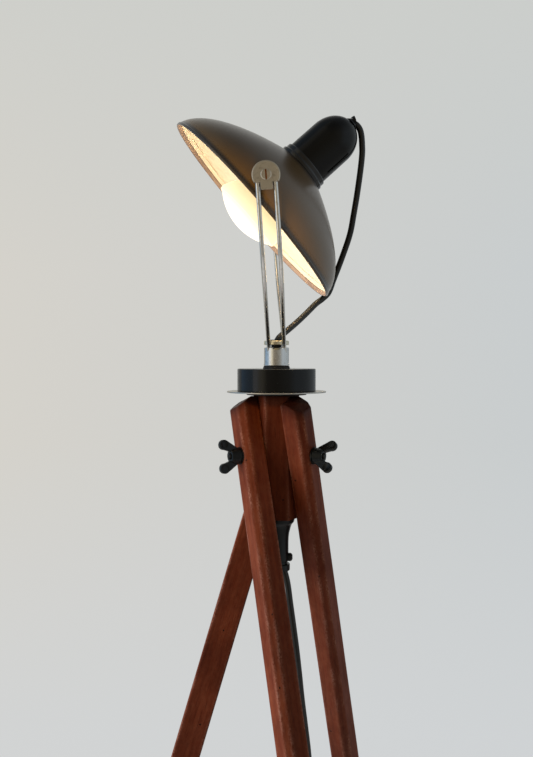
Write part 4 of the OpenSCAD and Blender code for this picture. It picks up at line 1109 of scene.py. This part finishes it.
def slab(name, corners, radius, low, high, side, material):
    """Flat plate on the pivots' axis, square to it and upright with the fork: a rounded outline about its
    own middle, between two distances from the fork's middle plane, with its outer rim rounded over by 0.25
    mm."""
    line = rounded(corners, radius, 5)
    line = np.vstack([line, line[:1]])
    middle = np.mean(corners, axis=0)
    half = np.abs(np.array(corners) - middle).max(0)
    edge = 0.25 * MM
    rings = [(half, low), (0 * half, low), (0 * half, high - edge), (edge * 0.3, high - edge * 0.3)]
    rings += [(edge + 0 * half, high), (half, high)]
    right = np.array([np.cos(LEAN), 0, np.sin(LEAN)])
    rise = np.array([-np.sin(LEAN), 0, np.cos(LEAN)])
    grid = []
    for inset, distance in rings:
        xy = middle + (line - middle) * (1 - inset / half)
        grid.append(PIVOT + xy[:, :1] * right + xy[:, 1:] * rise + [0, side * distance, 0])
    return sheet_of(name, np.array(grid), material)


# ---------- head ----------


def dish_line(sizes, count):
    """Line of the dish from the rim band to its crown: with u the depth from mouth to crown, the radius is
    R - (R - r) (0.114 u + 0.886 u^2)."""
    lip, bow = 1 * MM, 0.886
    mouth = RIM_LOW + lip
    wide, narrow = RIM_R - 0.5 * MM, sizes.crown / 2
    first = (RIM_TOP - mouth) / (CROWN - mouth)
    u = np.linspace(first, 1, count)
    r = wide - (wide - narrow) * ((1 - bow) * u + bow * u**2)
    z = mouth + u * (CROWN - mouth)
    return np.column_stack([r, z])


class Dish(bpy.types.Operator):
    """Spun dish, bronze enamel outside and cream inside, with its black rim band"""

    bl_idname = "lamp.dish"
    bl_label = "Dish"

    def execute(self, context):
        sizes = context.scene.lamp_sizes
        outer = dish_line(sizes, 72)
        cream = make_dish(sizes, outer)
        make_rim(sizes, outer[0, 0], cream)
        return {"FINISHED"}


# Enamel that has lost its gloss
MATT = {"IOR": 1.3, "Coat_Weight": 0.0}


def make_dish(sizes, outer):
    """Dish: its line outside, the bored crown, and back inside by the sheet's wall. It gives back the
    inside's enamel."""
    flange = np.interp(-reach("flange_ring", PIVOT, HEAD)[2], -outer[:, 0], steps_along(outer))
    # Painted shadow: the dish darkens to near black just below the flange ring, where the flange and housing
    # shade it.
    shade = ("#080402", flange - 14 * MM, flange - 1 * MM)
    bronze = spun_enamel("olive-bronze enamel", chosen("dish"), "#6F5A3A", (0.28, 0.38), fade=shade)
    cream = spun_enamel("cream enamel", chosen("inside"), "#E4D6B9", (0.4, 0.55), 0, **MATT)
    inner = outer - [sizes.sheet, 0.3 * sizes.sheet]
    inner[0, 1] = outer[0, 1]
    hole = 20.6 * MM
    top = np.array([[hole, CROWN], [hole, CROWN - sizes.sheet]])
    first = outer[:1] + 0.01 * (outer[1:2] - outer[:1])
    line = np.vstack([outer[:1], first, outer[1:], top, inner[::-1], outer[:1]])
    finishes = [(cream, len(outer) + 2), (bronze, len(line) - 2)]
    shell = turned("dish_shell", line, PIVOT, HEAD, bronze, 240, others=finishes)
    put(shell, "shade", "shade_paint", "shade")
    return cream


def make_rim(sizes, top_r, cream):
    """Rim band: an outline of eight rounded corners, from the lip's inner edge out round the bead and up
    to the dish. The dish's colour comes in on the slope above the bead."""
    wide, wall = RIM_R, sizes.rim_wall
    bead = RIM_LOW + 3 * MM
    band = [
        (wide - wall, RIM_LOW + 0.4 * MM), (wide - 1.2 * MM, RIM_LOW), (wide - 0.3 * MM, RIM_LOW),
        (wide, RIM_LOW + 1.3 * MM), (wide, RIM_LOW + 2.4 * MM), (wide - 0.7 * MM, bead),
        (top_r, RIM_TOP), (top_r - wall, RIM_TOP),
    ]  # fmt: skip
    steps = 3
    line = rounded(band, np.array([0.4, 0.5, 0.5, 0.6, 0.5, 0.5, 0.02, 0.02]) * MM, steps)
    wall_low, wall_high = np.array(band[0]), np.array(band[-1])
    below = 6 * (steps + 1)  # points of the corners before the slope
    start = np.interp(bead, line[:below, 1], steps_along(line)[:below])
    slope = np.linalg.norm(np.array(band[6]) - band[5])
    fade = (chosen("dish"), start + 0.2 * slope, start + 0.7 * slope)
    dark = spun_enamel("dark rim enamel", "#2E2A26", "#383430", (0.24, 0.34), fade=fade)
    lip = spun_enamel("greyed lip enamel", "#A68F7C", "#8E7868", (0.4, 0.55), 0, **MATT)
    inner_rows = len(line)
    seams = [wall_high + share * (wall_low - wall_high) for share in (0.5, 0.58)]
    line = np.vstack([line, seams, line[:1]])
    finishes = [(dark, 6), (cream, inner_rows - 3), (dark, inner_rows), (lip, inner_rows + 1)]
    rim = turned("rim_band", line, PIVOT, HEAD, lip, 240, others=finishes)
    put(rim, "rim_ring", "rim_paint", "rim_ring")


class Holder(bpy.types.Operator):
    """Flange ring, domed housing, cord outlet and the lampholder inside"""

    bl_idname = "lamp.holder"
    bl_label = "Lampholder"

    def execute(self, context):
        bakelite = moulded(
            "polished black bakelite", "#040505", "#070A0B", (0.16, 0.28), 3, 0.03, IOR=1.32, Coat_Weight=0.15
        )
        shiny = moulded(
            "bakelite flange", "#060707", "#0B0D0D", (0.12, 0.22), 3, 0.03, IOR=1.5, Coat_Weight=0.5
        )
        softened("flange_ring", 0.4 * MM, shiny)
        softened("housing", 0.35 * MM, bakelite)
        softened("cord_gland", 0.4 * MM, bakelite)
        porcelain = moulded("glazed porcelain", "#EDEAE0", "#E2DDCF", (0.1, 0.2), IOR=1.5)
        softened("lamp_holder", 0.6 * MM, porcelain)
        brass = plated("pressed brass shell", "#CDAE68", "#7F6432", (0.2, 0.35))
        make_shell("holder_thread", "holder_shell", brass, inward=True)
        nickel = plated("nickelled cap", "#C9C6BE", "#8B8577", (0.2, 0.32))
        make_shell("bulb_thread", "bulb_cap", nickel, inward=False)
        return {"FINISHED"}


def make_shell(name, node, material, inward):
    """Rolled round thread: on the wall's length the radius falls by 0.9 mm (1 - cos(2 pi z / 3.6 mm - t)) /
    2. inward gives the shell an open mouth and an inner wall."""
    low, high, wide = reach(node, PIVOT, HEAD)
    z = np.linspace(low + 3 * MM, high - (2 if inward else 7) * MM, 90)
    wall, pitch, depth = 0.5 * MM, 3.6 * MM, 0.9 * MM

    def thread(r, z, t):
        """Radius of each point once the thread is rolled."""
        swing = depth * (1 - np.cos(2 * np.pi * z / pitch - t)) / 2
        inside = (z > low + 3 * MM) & (z < high - 7 * MM) & (r > wide - 2 * MM)
        return r - swing * inside

    outer = np.column_stack([np.full(90, wide), z])
    if inward:
        front = np.vstack([[wide, low], outer, [wide, high], [0, high], [0, high - wall]])
        back = [[wide - wall, high - wall], *(outer[::-1] - [wall, 0]), [wide - wall, low], [wide, low]]
        line = np.vstack([front, back])
    else:
        tip = [(9 * MM, high - 3 * MM), (4.6 * MM, high - 1 * MM), (4.6 * MM, high), (0, high)]
        line = np.vstack([[0, low], [wide - 0.4 * MM, low], [wide, low + 2.5 * MM], outer, tip])
    piece = turned(name, line, PIVOT, HEAD, material, 72, thread)
    put(piece, node, None, node)


class Bulb(bpy.types.Operator):
    """Lit reflector bulb"""

    bl_idname = "lamp.bulb"
    bl_label = "Bulb"

    def execute(self, context):
        line = bulb_line()
        line = np.vstack([line, [0, line[-1, 1]]])
        glass = turned("bulb_envelope", line, PIVOT, HEAD, frosted_glass(), 96)
        glass.visible_shadow = False
        put(glass, "bulb_glass", "bulb", "bulb_glass")
        light = bpy.data.lights.new("bulb_light", "POINT")
        light.energy, light.color, light.shadow_soft_size = 0.25, linear("#FFF2E2")[:3], 4 * MM
        lamp = bpy.data.objects.new("bulb_light", light)
        low, high = reach("bulb_glass", PIVOT, HEAD)[:2]
        lamp.location = PIVOT + (low + 0.42 * (high - low)) * HEAD
        lamp.visible_camera = lamp.visible_glossy = False
        context.scene.collection.objects.link(lamp)
        return {"FINISHED"}


def bulb_line():
    """Outline of a reflector bulb from its tip to its cap: a shallow dome, a round shoulder, and a flank
    whose radius falls by the share 0.64 t + 0.72 t^2 - 0.36 t^3 along it."""
    tip, foot, wide = reach("bulb_glass", PIVOT, HEAD)
    dome, edge, neck = 60 * MM, 3 * MM, 15 * MM
    r = np.linspace(0, wide - edge, 26)
    front = np.column_stack([r, tip + dome - np.sqrt(dome**2 - r**2)])
    shoulder = front[-1, 1] + np.array([0.6, 4, 7]) * MM
    round_over = np.column_stack([[wide - 0.7 * MM, wide, wide - 0.7 * MM], shoulder])
    t = np.linspace(0, 1, 30)[1:, None]
    start, end = round_over[-1], np.array([neck, foot - 22 * MM])
    fall = 0.64 * t + 0.72 * t**2 - 0.36 * t**3
    flank = np.hstack([start[0] + (end[0] - start[0]) * fall, start[1] + (end[1] - start[1]) * t])
    cap = np.array([[reach("bulb_cap", PIVOT, HEAD)[2] - 0.8 * MM, foot]])
    return np.vstack([front[:-2], smooth(np.vstack([front[-2:], round_over, flank[:1]]), 5), flank[1:], cap])


# ---------- panel ----------

STEPS = (StudioStage, Cords, Wood, Feet, Clamps, Base, Bell, Swivel, Fork, Pivots, Dish, Holder, Bulb)


class LampPanel(bpy.types.Panel):
    """Sizes, colours and steps of the lamp's finish"""

    bl_idname = "VIEW3D_PT_lamp_finish"
    bl_label = "Tripod floor lamp"
    bl_space_type = "VIEW_3D"
    bl_region_type = "UI"
    bl_category = "Lamp"

    def draw(self, context):
        for group in (context.scene.lamp_sizes, context.scene.lamp_colours):
            for name in group.__annotations__:
                self.layout.prop(group, name)
        for step in STEPS:
            self.layout.operator(step.bl_idname)


CLASSES = (LampSizes, LampColours, *STEPS, LampPanel)


def register():
    """Makes the classes and the scene's settings known."""
    for item in CLASSES:
        bpy.utils.register_class(item)
    bpy.types.Scene.lamp_sizes = bpy.props.PointerProperty(type=LampSizes)
    bpy.types.Scene.lamp_colours = bpy.props.PointerProperty(type=LampColours)


def unregister():
    """Takes them away again."""
    del bpy.types.Scene.lamp_sizes, bpy.types.Scene.lamp_colours
    for item in reversed(CLASSES):
        bpy.utils.unregister_class(item)


def main():
    """Registers the classes and runs every step in order."""
    register()
    for step in STEPS:
        getattr(bpy.ops.lamp, step.bl_idname.split(".")[1])()
    bpy.context.view_layer.update()


if __name__ == "__main__":
    main()
